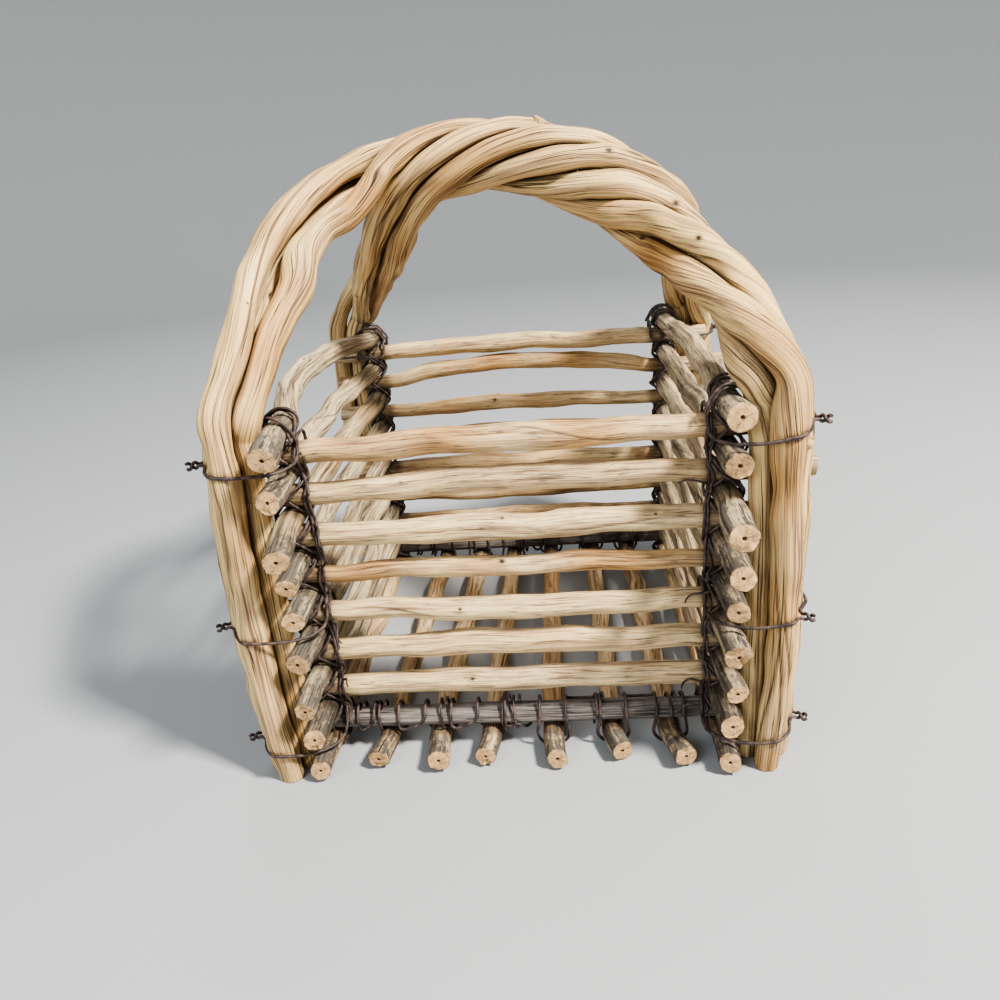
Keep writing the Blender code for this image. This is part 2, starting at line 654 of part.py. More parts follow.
def ring_picks(count):
    """Places of a vine's rings among its points, closest where the legs start to lean."""
    share = np.linspace(0.0, 1.0, count)
    near_foot = np.minimum(share, 1.0 - share)
    need = np.interp(near_foot, *zip(*RING_DENSITY_SHARES))
    total = np.concatenate([[0.0], np.cumsum((need[1:] + need[:-1]) / 2.0)])
    return np.interp(np.linspace(0.0, total[-1], VINE_RINGS), total, np.arange(count))


def tube_rings(line, radii):
    """Rings square to a line, each turned as little as it can from the one before.

    The first and the last ring lie level, as feet that stand on the ground.
    """
    ways = [Vector((0.0, 0.0, 1.0))]
    for before, after in zip(line, line[2:]):
        ways.append((after - before).normalized())
    ways.append(Vector((0.0, 0.0, -1.0)))
    side = Vector((1.0, 0.0, 0.0))
    rings = []
    for point, way, radius in zip(line, ways, radii):
        side = (side - way * side.dot(way)).normalized()
        other = way.cross(side)
        ring = []
        for i in range(STICK_SIDES):
            turn = OCTAGON * (2 * i + 1)
            ring.append(point + (side * math.cos(turn) + other * math.sin(turn)) * radius)
        rings.append(ring)
    return rings


# The wire work.

def corner_axes(wall, side):
    """Signs that turn (inward, outward past the wall) into X and Y at a corner."""
    return -SIDE_SIGN[side], WALL_SIGN[wall]


def corner_keys(wall, side):
    """The crossings of a corner from the top down: (height, half width, is a rail)."""
    keys = []
    for level in range(1, LAYER_COUNT + 1):
        height = side_seat(wall, side, level)[0]
        keys.append((height, radius_of("side", side, level), False))
        keys.append((rail_height(wall, side, level), radius_of("rail", wall, level), True))
    number = 1 if side == "left" else LAYER_COUNT
    keys.append((floor_seat(wall, number)[0], radius_of("floor", None, number), False))
    return keys


def corner_strand(keys, turn):
    """One strand down a corner: two points on each stick, a quarter turn per crossing.

    turn is the side on which the strand passes the first stick: 0 is the inner side and
    2 the outer one. Points are (inward, outward past the wall, height).
    """
    points = []
    for i, (height, half_width, is_rail) in enumerate(keys):
        above = keys[i - 1][0] if i > 0 else 2.0 * height - keys[i + 1][0]
        below = keys[i + 1][0] if i + 1 < len(keys) else 2.0 * height - above
        offset = half_width + WIRE_GAP + WIRE_RADIUS
        slide = offset * math.tan(OCTAGON)
        facing = math.radians(90.0 * (turn + i))
        inward, past = math.cos(facing), math.sin(facing)
        for way, next_height in ((1.0, above), (-1.0, below)):
            points.append((
                inward * offset + past * slide * way,
                past * offset - inward * slide * way,
                height + (next_height - height) / 4.0,
            ))
    return points


def top_arc(keys, turn):
    """The end of a strand: from its cut tip up and over the top side stick."""
    height, half_width, is_rail = keys[0]
    offset = half_width + WIRE_GAP + WIRE_RADIUS
    over = side_top(keys) + WIRE_GAP + WIRE_RADIUS
    slide = offset * math.tan(OCTAGON)
    sign = 1.0 if turn == 0 else -1.0
    past = -sign * (offset + WIRE_RADIUS)
    tip = offset + TAIL_LENGTH / 2.0
    return [
        (-sign * tip, past, height - TAIL_LENGTH / 2.0),
        (-sign * (tip - WIRE_RADIUS), past, height),
        (-sign * offset, past, height + slide),
        (-sign * slide, past, over),
        (sign * slide, past * 0.7, over),
        (sign * offset, past * 0.4, height + slide),
    ]


def side_top(keys):
    """Height of the top side stick's upper side at its full girth."""
    return keys[0][0] + keys[0][1]


def lace_corner(wall, side):
    """A corner's wire: down one way round, under the floor stick and up the other way."""
    keys = corner_keys(wall, side)
    down = top_arc(keys, 0) + corner_strand(keys, 0)
    up = top_arc(keys, 2) + corner_strand(keys, 2)
    height, half_width, is_rail = keys[-1]
    number = 1 if side == "left" else LAYER_COUNT
    under = height - floor_half_height(number) - WIRE_GAP - WIRE_RADIUS
    slide = (half_width + WIRE_GAP + WIRE_RADIUS) * math.tan(OCTAGON)
    turn_under = [(slide, slide / 2.0, under), (-slide, -slide / 2.0, under)]
    return down + turn_under + up[::-1]


def build_corner_lacings(finishes, basket):
    """The four corner wires."""
    for wall in WALL_SIGN:
        for side in SIDE_SIGN:
            name = f"corner_lacing_{wall}_{side}"
            across, past = corner_axes(wall, side)
            points = [(across * u, past * v, z) for u, v, z in lace_corner(wall, side)]
            place = (-across * WALL_SPAN_X / 2.0, past * WALL_SPAN_Y / 2.0, 0.0)
            add_object(name, wire_curve(name, points), finishes["wire"], basket, place)


def over_rail(place, reach, to_inside):
    """Four points over the top of a base rail: (along, past the wall, up)."""
    slide = reach * math.tan(OCTAGON)
    points = [(place, reach, slide), (place, slide, reach), (place, -slide, reach),
              (place, -reach, slide)]
    return points if to_inside else points[::-1]


def under_stick(place, reach, offset, drop, past):
    """Four points below a floor stick from its left side to its right side."""
    slide = offset * math.tan(OCTAGON)
    return [
        (place - offset, past, drop + slide),
        (place - slide, past, drop),
        (place + slide, past, drop),
        (place + offset, past, drop + slide),
    ]


def lash_floor(wall):
    """The wire along a base rail, round it and the six middle floor sticks.

    Points are (along the rail, past the wall, up from the rail's middle).
    """
    rail = rail_height(wall, "left", LAYER_COUNT)
    reach = radius_of("rail", wall, LAYER_COUNT) + WIRE_GAP + WIRE_RADIUS
    slide = reach * math.tan(OCTAGON)
    sticks = range(2, LAYER_COUNT)
    first = floor_place(wall, 2) - lash_offset(2)
    points = [
        (first - TAIL_LENGTH, reach + WIRE_RADIUS, -TAIL_LENGTH / 2.0),
        (first - TAIL_LENGTH / 2.0, reach, -TAIL_LENGTH / 4.0),
    ]
    outside = True
    for number in sticks:
        place = floor_place(wall, number)
        offset = lash_offset(number)
        drop = floor_seat(wall, number)[0] - floor_half_height(number) - rail
        drop = drop - WIRE_GAP - WIRE_RADIUS
        front_arc = number in FRONT_LASHED_STICKS
        if front_arc == outside:
            before = place - offset - (LAYER_PITCH / 2.0 if outside else LAYER_PITCH / 4.0)
            points += turn_under_rail(before, place - offset, reach, outside)
            outside = not outside
        points += over_rail(place - offset, reach, to_inside=outside)
        outside = not outside
        past = reach if outside else -reach
        points += under_stick(place, reach, offset, drop, past)
        points += over_rail(place + offset, reach, to_inside=outside)
        outside = not outside
        if outside:
            points.append((place + offset, reach, -slide))
    last = points[-1]
    points.append((last[0] + TAIL_LENGTH / 2.0, last[1], last[2] - slide))
    points.append((last[0] + TAIL_LENGTH, last[1] - WIRE_RADIUS, last[2] - slide * 1.5))
    return points


def lash_offset(number):
    """From a floor stick's middle to the wire beside it."""
    return radius_of("floor", None, number) + WIRE_GAP + WIRE_RADIUS


def turn_under_rail(start, end, reach, to_inside):
    """Two points below the rail, where the wire changes from one side to the other."""
    slide = reach * math.tan(OCTAGON)
    way = 1.0 if to_inside else -1.0
    middle = (start + end) / 2.0
    return [
        (start, way * reach, -slide),
        (middle - (end - start) / 8.0, way * slide, -reach),
        (middle + (end - start) / 8.0, -way * slide, -reach),
        (end, -way * reach, -slide),
    ]


def build_floor_lacings(finishes, basket):
    """The two wires that tie the floor to the base rails."""
    for wall, sign in WALL_SIGN.items():
        name = f"floor_lacing_{wall}"
        points = [(x, sign * past, z) for x, past, z in lash_floor(wall)]
        place = (0.0, sign * WALL_SPAN_Y / 2.0, rail_height(wall, "left", LAYER_COUNT))
        add_object(name, wire_curve(name, points), finishes["wire"], basket, place)


def vine_spot(vines, wall, part, side, height):
    """Where a vine's middle passes a height on its way down to one foot."""
    path = vines[wall, part]
    half = len(path) // 2
    leg = path[:half] if side == "left" else path[half:][::-1]
    x = np.interp(height, leg[:, 2], leg[:, 0])
    y = np.interp(height, leg[:, 2], leg[:, 1])
    return float(x), float(y)


def tie_points(wall, side, level, vines):
    """A tie drawn tight round a leg's three vines, a rail's end and the laced corner.

    Beside the corner it passes over the rail. Away from the corner it rises, and its two
    ends leave the outer vine together and twist into a pigtail. Points are (inward,
    outward past the wall, height), turned into the corner's own directions.
    """
    height = rail_height(wall, side, level)
    inward, past = corner_axes(wall, side)
    laced = widest_rail() + WIRE_GAP + 3.0 * WIRE_RADIUS + TIE_GAP
    clear = widest_rail() + WIRE_RADIUS + TIE_GAP
    over = height + clear + WIRE_RADIUS
    foot = height + 2.0 * WIRE_RADIUS
    rise = TIE_RISE_SHARES[wall, side]
    beside = radius_of("rail", wall, level) + WIRE_RADIUS + TIE_GAP
    end = RAIL_OVERHANG * RAIL_END_SHARES[side][level - 1] + WIRE_RADIUS + TIE_GAP
    spots = [(-end, beside), (-end, -beside), (-laced / 2.0, -laced), (laced, -laced)]
    spots.append((laced, clear + TIE_BEND))
    reach = (VINE_RADIUS + WIRE_RADIUS + TIE_GAP) / math.cos(OCTAGON)
    for part in ("outer", "middle", "inner"):
        u, v = leg_spot(vines, wall, part, side, height)
        u, v = leg_spot(vines, wall, part, side, height + rise * max(0.0, -u - laced))
        for i in range(STICK_SIDES):
            turn = OCTAGON * (2 * i + 1)
            spots.append((u + reach * math.cos(turn), v + reach * math.sin(turn)))
    outline = hull(spots)
    out = Vector((-math.cos(MOUTH_TURN), math.sin(MOUTH_TURN), 0.0))
    mouth = max(outline, key=lambda spot: spot[0] * out.x + spot[1] * out.y)
    first = outline.index(mouth)
    outline = outline[first + 1:] + outline[:first]
    outline = [part_way(mouth, outline[0])] + outline + [part_way(mouth, outline[-1])]
    loop = []
    for u, v in outline:
        loop.append((u, v, height + rise * max(0.0, -u - laced)))
        if (u, v) == (laced, -laced):
            loop.append((laced, -clear - WIRE_RADIUS / 2.0, foot))
            loop.append((laced, -clear * 0.7, over))
            loop.append((laced, clear * 0.7, over))
            loop.append((laced, clear + WIRE_RADIUS / 2.0, foot))
    first, last = pigtail(loop, out)
    points = first + loop + last[::-1]
    return [(inward * u, past * v, z) for u, v, z in points]


def leg_spot(vines, wall, part, side, height):
    """Where a vine passes a height, as (inward, outward past the wall) from its corner."""
    x, y = vine_spot(vines, wall, part, side, height)
    inward, past = corner_axes(wall, side)
    return (inward * (x - SIDE_SIGN[side] * WALL_SPAN_X / 2.0),
            past * (y - WALL_SIGN[wall] * WALL_SPAN_Y / 2.0))


def part_way(mouth, neighbour):
    """The point half a tie's mouth away from its middle, towards the next corner."""
    start, end = Vector(mouth), Vector(neighbour)
    return tuple(start + (end - start).normalized() * min(TIE_MOUTH, (end - start).length) / 2.0)


def hull(spots):
    """Corners of the tightest outline round some places, from the left by the inner side."""
    spots = sorted(set(spots))
    halves = []
    for row in (spots, spots[::-1]):
        half = []
        for spot in row:
            while len(half) > 1 and bends_out(half[-2], half[-1], spot):
                half.pop()
            half.append(spot)
        halves.append(half[:-1])
    return halves[0] + halves[1]


def bends_out(before, middle, after):
    """Whether the middle one of three places lies inside the outline, or on it."""
    first = (middle[0] - before[0]) * (after[1] - before[1])
    return first <= (middle[1] - before[1]) * (after[0] - before[0])


def pigtail(loop, out):
    """The two ends of a tie, wound round each other as they run out from the loop."""
    start, end = Vector(loop[0]), Vector(loop[-1])
    middle = (start + end) / 2.0
    swing = WIRE_RADIUS + PIGTAIL_GAP / 2.0
    side = start - end
    side = (side - out * side.dot(out)).normalized()
    rise = out.cross(side)
    strands = ([], [])
    for i in range(PIGTAIL_POINTS):
        share = (i + 1.0) / PIGTAIL_POINTS
        turn = 2.0 * math.pi * PIGTAIL_TURNS * i / (PIGTAIL_POINTS - 1.0)
        spot = middle + out * (PIGTAIL_LENGTH * share)
        swung = (side * math.cos(turn) + rise * math.sin(turn)) * swing
        strands[0].insert(0, tuple(spot + swung))
        strands[1].insert(0, tuple(spot - swung))
    return strands


def build_ties(finishes, basket, vines):
    """The wire ties that hold the legs of the handle to the corners."""
    for wall, levels in TIE_LEVELS.items():
        for side in SIDE_SIGN:
            for level in levels:
                name = f"handle_tie_{wall}_{side}_{TIE_NAMES[level]}"
                inward, past = corner_axes(wall, side)
                place = (-inward * WALL_SPAN_X / 2.0, past * WALL_SPAN_Y / 2.0, 0.0)
                points = tie_points(wall, side, level, vines)
                add_object(name, wire_curve(name, points), finishes["wire"], basket, place)


# The whole basket.

def centre_on_origin(basket):
    """Move the basket so that the middle of its box stands over the origin."""
    bpy.context.view_layer.update()
    corners = []
    for piece in basket.children:
        corners += [piece.matrix_world @ Vector(corner) for corner in piece.bound_box]
    for axis in (0, 1):
        values = [corner[axis] for corner in corners]
        basket.location[axis] = -(min(values) + max(values)) / 2.0
    bpy.context.view_layer.update()
    print("basket moved by", tuple(round(value, 6) for value in basket.location))


def main():
    """Clear the scene and build every piece under one empty."""
    for old in list(bpy.data.objects):
        bpy.data.objects.remove(old, do_unlink=True)
    basket = bpy.data.objects.new("basket", None)
    bpy.context.collection.objects.link(basket)
    finishes = {
        "vine": material("vine_wood", (0.62, 0.43, 0.25), 0.55, 0.0),
        "rail": material("rail_wood", (0.50, 0.36, 0.22), 0.65, 0.0),
        "side": material("side_wood", (0.34, 0.26, 0.18), 0.80, 0.0),
        "floor": material("floor_wood", (0.48, 0.29, 0.15), 0.75, 0.0),
        "base": material("base_wood", (0.22, 0.16, 0.12), 0.80, 0.0),
        "wire": material("rusted_wire", (0.06, 0.04, 0.035), 0.60, 0.8),
    }
    build_rails(finishes, basket)
    build_side_sticks(finishes, basket)
    build_floor_sticks(finishes, basket)
    vines, girth = lay_vines()
    build_vines(finishes, basket, vines, girth)
    build_corner_lacings(finishes, basket)
    build_floor_lacings(finishes, basket)
    build_ties(finishes, basket, vines)
    centre_on_origin(basket)


main()
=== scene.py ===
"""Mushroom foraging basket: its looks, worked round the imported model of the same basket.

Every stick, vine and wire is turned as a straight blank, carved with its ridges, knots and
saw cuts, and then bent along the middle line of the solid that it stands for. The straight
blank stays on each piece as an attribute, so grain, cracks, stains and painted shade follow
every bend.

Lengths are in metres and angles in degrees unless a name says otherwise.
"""

import logging
import math
import zlib
from dataclasses import dataclass, field, replace
from enum import Enum

import bmesh
import bpy
import numpy as np
from mathutils import Matrix, Vector


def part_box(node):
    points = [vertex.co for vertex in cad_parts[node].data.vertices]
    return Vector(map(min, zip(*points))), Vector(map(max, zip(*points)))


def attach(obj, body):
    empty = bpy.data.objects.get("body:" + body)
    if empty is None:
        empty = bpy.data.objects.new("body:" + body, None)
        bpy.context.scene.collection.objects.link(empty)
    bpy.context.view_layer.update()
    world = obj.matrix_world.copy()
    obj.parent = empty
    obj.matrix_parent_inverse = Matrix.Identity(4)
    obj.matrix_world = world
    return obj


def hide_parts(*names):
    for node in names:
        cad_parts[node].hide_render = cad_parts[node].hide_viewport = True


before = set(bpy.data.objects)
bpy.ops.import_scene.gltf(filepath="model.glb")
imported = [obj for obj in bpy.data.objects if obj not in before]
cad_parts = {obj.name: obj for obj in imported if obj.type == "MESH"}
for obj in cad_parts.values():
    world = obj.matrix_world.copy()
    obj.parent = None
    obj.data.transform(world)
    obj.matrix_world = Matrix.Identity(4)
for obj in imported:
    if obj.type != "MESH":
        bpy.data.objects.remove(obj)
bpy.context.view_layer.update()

LOG = logging.getLogger("basket")
BODY = "root"
MM = 0.001
UP = np.array([0.0, 0.0, 1.0])
# The marks attribute holds a sawn-end mask, knot darkness, and painted shade in crevices that is partly
# rust stain.
GRAIN, MARKS_AND_SHADE, AGE, TINT = "grain", "marks_and_shade", "age", "tint"

Colour = tuple[float, float, float]


class Wall(Enum):
    """The two walls that carry rails and a handle root each."""

    FRONT = "front"
    BACK = "back"


class Side(Enum):
    """The two side walls."""

    LEFT = "left"
    RIGHT = "right"


# Middle lines, read from the solids.

def unit(vectors: np.ndarray) -> np.ndarray:
    """Vectors along the last axis, each made one long."""
    return vectors / np.maximum(np.linalg.norm(vectors, axis=-1, keepdims=True), 1e-12)


def smooth_step(share: np.ndarray) -> np.ndarray:
    """A rise from 0 to 1 that starts and ends level."""
    share = np.clip(share, 0.0, 1.0)
    return share * share * (3.0 - 2.0 * share)


def eased(values: np.ndarray, places: np.ndarray, known: np.ndarray) -> np.ndarray:
    """Cubic curve through rows of values.

    Args:
        values: rows of values at the known places.
        places: where the curve is wanted.
        known: rising places of the rows.

    Returns:
        One row for each wanted place.
    """
    slopes = np.gradient(values, known, axis=0)
    i = np.clip(np.searchsorted(known, places, side="right") - 1, 0, len(known) - 2)
    span = known[i + 1] - known[i]
    t = np.clip((places - known[i]) / span, 0.0, 1.0)
    t, span = (a.reshape(-1, *[1] * (values.ndim - 1)) for a in (t, span))
    return (
        (2.0 * t ** 3 - 3.0 * t ** 2 + 1.0) * values[i]
        + (t ** 3 - 2.0 * t ** 2 + t) * span * slopes[i]
        + (3.0 * t ** 2 - 2.0 * t ** 3) * values[i + 1]
        + (t ** 3 - t ** 2) * span * slopes[i + 1]
    )


def cap_of(bm: bmesh.types.BMesh) -> set[bmesh.types.BMVert]:
    """Find the flat round end of a bar.

    Args:
        bm: a closed bar of triangles, merged.

    Returns:
        The corners of one of its two end faces.
    """
    seen: set[bmesh.types.BMFace] = set()
    for start in bm.faces:
        if start in seen:
            continue
        patch, todo = {start}, [start]
        while todo:
            for edge in todo.pop().edges:
                for face in edge.link_faces:
                    if face not in patch and face.normal.dot(start.normal) > 0.99999:
                        patch.add(face)
                        todo.append(face)
        seen |= patch
        corners = {vert for face in patch for vert in face.verts}
        if len(corners) not in (6, 8) or len(patch) != len(corners) - 2:
            continue
        middle = sum((vert.co for vert in corners), Vector()) / len(corners)
        reach = [(vert.co - middle).length for vert in corners]
        if max(reach) < 1.25 * min(reach):
            return corners
    raise ValueError("a bar has no flat end")


def rings_of(node: str) -> list[np.ndarray]:
    """Read a solid bar back as the rings of corners that it was skinned over.

    Args:
        node: name of the CAD node.

    Returns:
        The corners of each ring, from one end to the other.
    """
    bm = bmesh.new()
    bm.from_mesh(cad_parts[node].data)
    bmesh.ops.remove_doubles(bm, verts=bm.verts, dist=5e-6)
    bm.normal_update()
    ring = cap_of(bm)
    seen, rings = set(ring), []
    while ring:
        rings.append(np.array([vert.co[:] for vert in ring]))
        ring = {e.other_vert(v) for v in ring for e in v.link_edges} - seen
        seen |= ring
    bm.free()
    return rings


@dataclass
class Line:
    """The middle line of a bar with a frame and two half widths at every place.

    Attributes:
        places: run of each sample from the first end.
        middles: samples of the line.
        along: unit direction at each sample.
        across: unit direction of angle 0 round the bar.
        beside: unit direction of angle 90 round the bar.
        wide: half width along across.
        high: half width along beside.
        stops: places of the rings of the solid.
    """

    places: np.ndarray
    middles: np.ndarray
    along: np.ndarray
    across: np.ndarray
    beside: np.ndarray
    wide: np.ndarray
    high: np.ndarray
    stops: np.ndarray

    @classmethod
    def through(cls, points: np.ndarray, radii: np.ndarray, first: np.ndarray,
                carried: bool, spacing: float = 1.0 * MM) -> "Line":
        """Lay a line through points.

        Args:
            points: middles from one end to the other.
            radii: rows of (half width, half height), or plain radii.
            first: direction of angle 0 at the first end, or of angle 90 where not carried.
            carried: whether the frame is carried along the bends, as on a vine or a wire;
                if not, angle 90 always looks towards first, as on a level stick.
            spacing: distance between samples.

        Returns:
            The sampled line.
        """
        points = np.asarray(points, float)
        radii = np.asarray(radii, float)
        if radii.ndim == 1:
            radii = np.stack([radii, radii], axis=1)
        known = np.concatenate([[0.0], np.cumsum(np.linalg.norm(np.diff(points, axis=0), axis=1))])
        count = max(8, int(known[-1] / spacing) + 1)
        fine = np.linspace(0.0, known[-1], count)
        middles = eased(points, fine, known)
        widths = eased(radii, fine, known)
        places = np.concatenate([[0.0], np.cumsum(np.linalg.norm(np.diff(middles, axis=0), axis=1))])
        along = unit(np.gradient(middles, places, axis=0))
        across = np.empty_like(along)
        if carried:
            side = np.asarray(first, float)
            for i, way in enumerate(along):
                side = unit(side - way * side.dot(way))
                across[i] = side
        else:
            across[:] = unit(np.cross(along, first))
        beside = np.cross(across, along) * (-1.0)
        stops = np.interp(known, fine, places)
        return cls(places, middles, along, across, beside, widths[:, 0], widths[:, 1], stops)

    @classmethod
    def level(cls, node: str) -> "Line":
        """The line of a stick, from its left or front end.

        Angle 0 looks to the front on a rail and to the right on a side or floor stick,
        and angle -90 looks up.
        """
        rings = rings_of(node)
        middles = np.array([ring.mean(axis=0) for ring in rings])
        if (middles[-1] - middles[0]).sum() < 0.0:
            rings, middles = rings[::-1], middles[::-1]
        way = unit(np.cross(middles[-1] - middles[0], UP))
        radii = [(np.ptp(ring @ way) / 2.0, np.ptp(ring[:, 2]) / 2.0) for ring in rings]
        return cls.through(middles, np.array(radii), UP, carried=False)

    @classmethod
    def bent(cls, node: str, first: np.ndarray, flipped: bool = False,
             spacing: float = 1.0 * MM) -> "Line":
        """The line of a vine or a wire, with its frame carried along.

        Args:
            node: name of the CAD node.
            first: direction of angle 0 at the first end.
            flipped: start from the end with the higher X.
            spacing: distance between samples.

        Returns:
            The line with the mean radius of every ring.
        """
        rings = rings_of(node)
        middles = np.array([ring.mean(axis=0) for ring in rings])
        if (middles[0][0] > middles[-1][0]) != flipped:
            rings, middles = rings[::-1], middles[::-1]
        radii = [np.linalg.norm(r - r.mean(axis=0), axis=1).mean() for r in rings]
        return cls.through(middles, np.array(radii), first, carried=True, spacing=spacing)

    @property
    def length(self) -> float:
        """Run from end to end."""
        return float(self.places[-1])

    @property
    def radius(self) -> float:
        """Mean half width."""
        return float((self.wide.mean() + self.high.mean()) / 2.0)

    def at(self, places: np.ndarray, rows: np.ndarray) -> np.ndarray:
        """Rows of this line read at places along it."""
        if rows.ndim == 1:
            return np.interp(places, self.places, rows)
        return np.stack([np.interp(places, self.places, rows[:, i]) for i in range(3)], axis=1)

    def point(self, places: np.ndarray) -> np.ndarray:
        """Middles at places, running straight on past both ends."""
        beyond = places - np.clip(places, 0.0, self.length)
        return self.at(places, self.middles) + beyond[:, None] * self.at(places, self.along)


class Keepout:
    """Keeps a wire out of the wood and out of the wires that lie under it."""

    def __init__(self, lines: list[Line]) -> None:
        """Take the middle lines of what the wire may not enter."""
        self.bars = [(line.middles[::2], np.maximum(line.wide, line.high)[::2])
                     for line in lines]

    def clear(self, path: np.ndarray, radius: float, rounds: int = 10) -> np.ndarray:
        """Push a path out of everything and ease its bends.

        Args:
            path: points of the wire's middle.
            radius: the wire's radius and its gap.
            rounds: how often it is eased and pushed.

        Returns:
            The moved path.
        """
        for turn in range(rounds):
            if turn < rounds - 2:
                path[1:-1] += 0.35 * ((path[:-2] + path[2:]) / 2.0 - path[1:-1])
            low, high = path.min(axis=0) - 12.0 * MM, path.max(axis=0) + 12.0 * MM
            for middles, radii in self.bars:
                near = ((middles > low) & (middles < high)).all(axis=1)
                if not near.any():
                    continue
                gap = path[:, None] - middles[near][None]
                apart = np.linalg.norm(gap, axis=2)
                nearest = apart.argmin(axis=1)
                rows = np.arange(len(path))
                way = gap[rows, nearest] / np.maximum(apart[rows, nearest], 0.1 * MM)[:, None]
                short = radii[near][nearest] + radius - apart[rows, nearest]
                path = path + way * np.maximum(short, 0.0)[:, None]
        return path


# Carving.

class Waves:
    """Smooth variation that is the same on every run."""

    def __init__(self, name: str) -> None:
        """Start from a piece's name."""
        self.random = np.random.default_rng(zlib.crc32(name.encode()))

    def along(self, places: np.ndarray, length: float) -> np.ndarray:
        """A value near -1 to 1 for each place, wandering over about a length."""
        total = np.zeros_like(places)
        for stretch in (0.62, 0.87, 1.23, 1.9):
            phase = self.random.uniform(0.0, 2.0 * math.pi)
            total += np.cos(2.0 * math.pi * places / (length * stretch) + phase)
        return total / 2.4

    def round(self, angle: np.ndarray, places: np.ndarray, counts: tuple[int, ...],
              length: float) -> np.ndarray:
        """Ridges round a bar that shift slowly along it, near -1 to 1."""
        total = np.zeros_like(places)
        weight = 0.0
        for count in counts:
            size = self.random.uniform(0.6, 1.0) / math.sqrt(count)
            start = self.random.uniform(0.0, 2.0 * math.pi)
            shift = 1.6 * self.along(places, length)
            swell = 0.65 + 0.35 * self.along(places, length * 0.7)
            total += size * swell * np.cos(count * angle + start + shift)
            weight += size
        return total / (0.55 * weight)


@dataclass(frozen=True)
class Knot:
    """A knot, a scar or a swelling.

    Attributes:
        share: place along the bar, from 0 at its left or front end to 1.
        angle: place round the bar.
        size: half its length along the bar.
        rise: how far it stands out.
        dark: how dark its eye is, from 0 to 1.
        hole: how deep its eye goes in.
    """

    share: float
    angle: float
    size: float
    rise: float = 0.5 * MM
    dark: float = 0.8
    hole: float = 0.5 * MM


@dataclass(frozen=True)
class Split:
    """A chip or a drying split at the first sawn end of a bar.

    Attributes:
        angle: direction in which it opens.
        width: half its opening round the bar, in degrees.
        depth: how far it goes in along the bar.
        core: share of the radius at which it starts.
    """

    angle: float
    width: float
    depth: float
    core: float = 0.12


@dataclass(frozen=True)
class Character:
    """How a kind of bar departs from a plain round one.

    Attributes:
        sway: how far its middle line wanders.
        sway_length: over what length it does.
        girth: share by which its radius wanders.
        oval: share by which it is wider one way.
        ridge: height of the ridges along it.
        ridge_counts: numbers of ridges round it.
        ridge_length: length over which a ridge keeps its place.
        ragged: unevenness of its sawn rims.
        tilt: slope of its saw cuts.
        pith: radius of its pith hole, as a share.
        rim: width of the rounded edge of a cut.
        grooves: number of drying splits along it.
        groove_depth: depth of a split.
        groove_width: half its width.
        groove_length: half its greatest length.
    """

    sway: float = 0.5 * MM
    sway_length: float = 60.0 * MM
    girth: float = 0.035
    oval: float = 0.04
    ridge: float = 0.16 * MM
    ridge_counts: tuple[int, ...] = (3, 5, 7, 9, 11)
    ridge_length: float = 70.0 * MM
    ragged: float = 0.45 * MM
    tilt: float = 0.10
    pith: float = 0.11
    rim: float = 0.45 * MM
    grooves: int = 3
    groove_depth: float = 0.35 * MM
    groove_width: float = 0.55 * MM
    groove_length: float = 55.0 * MM


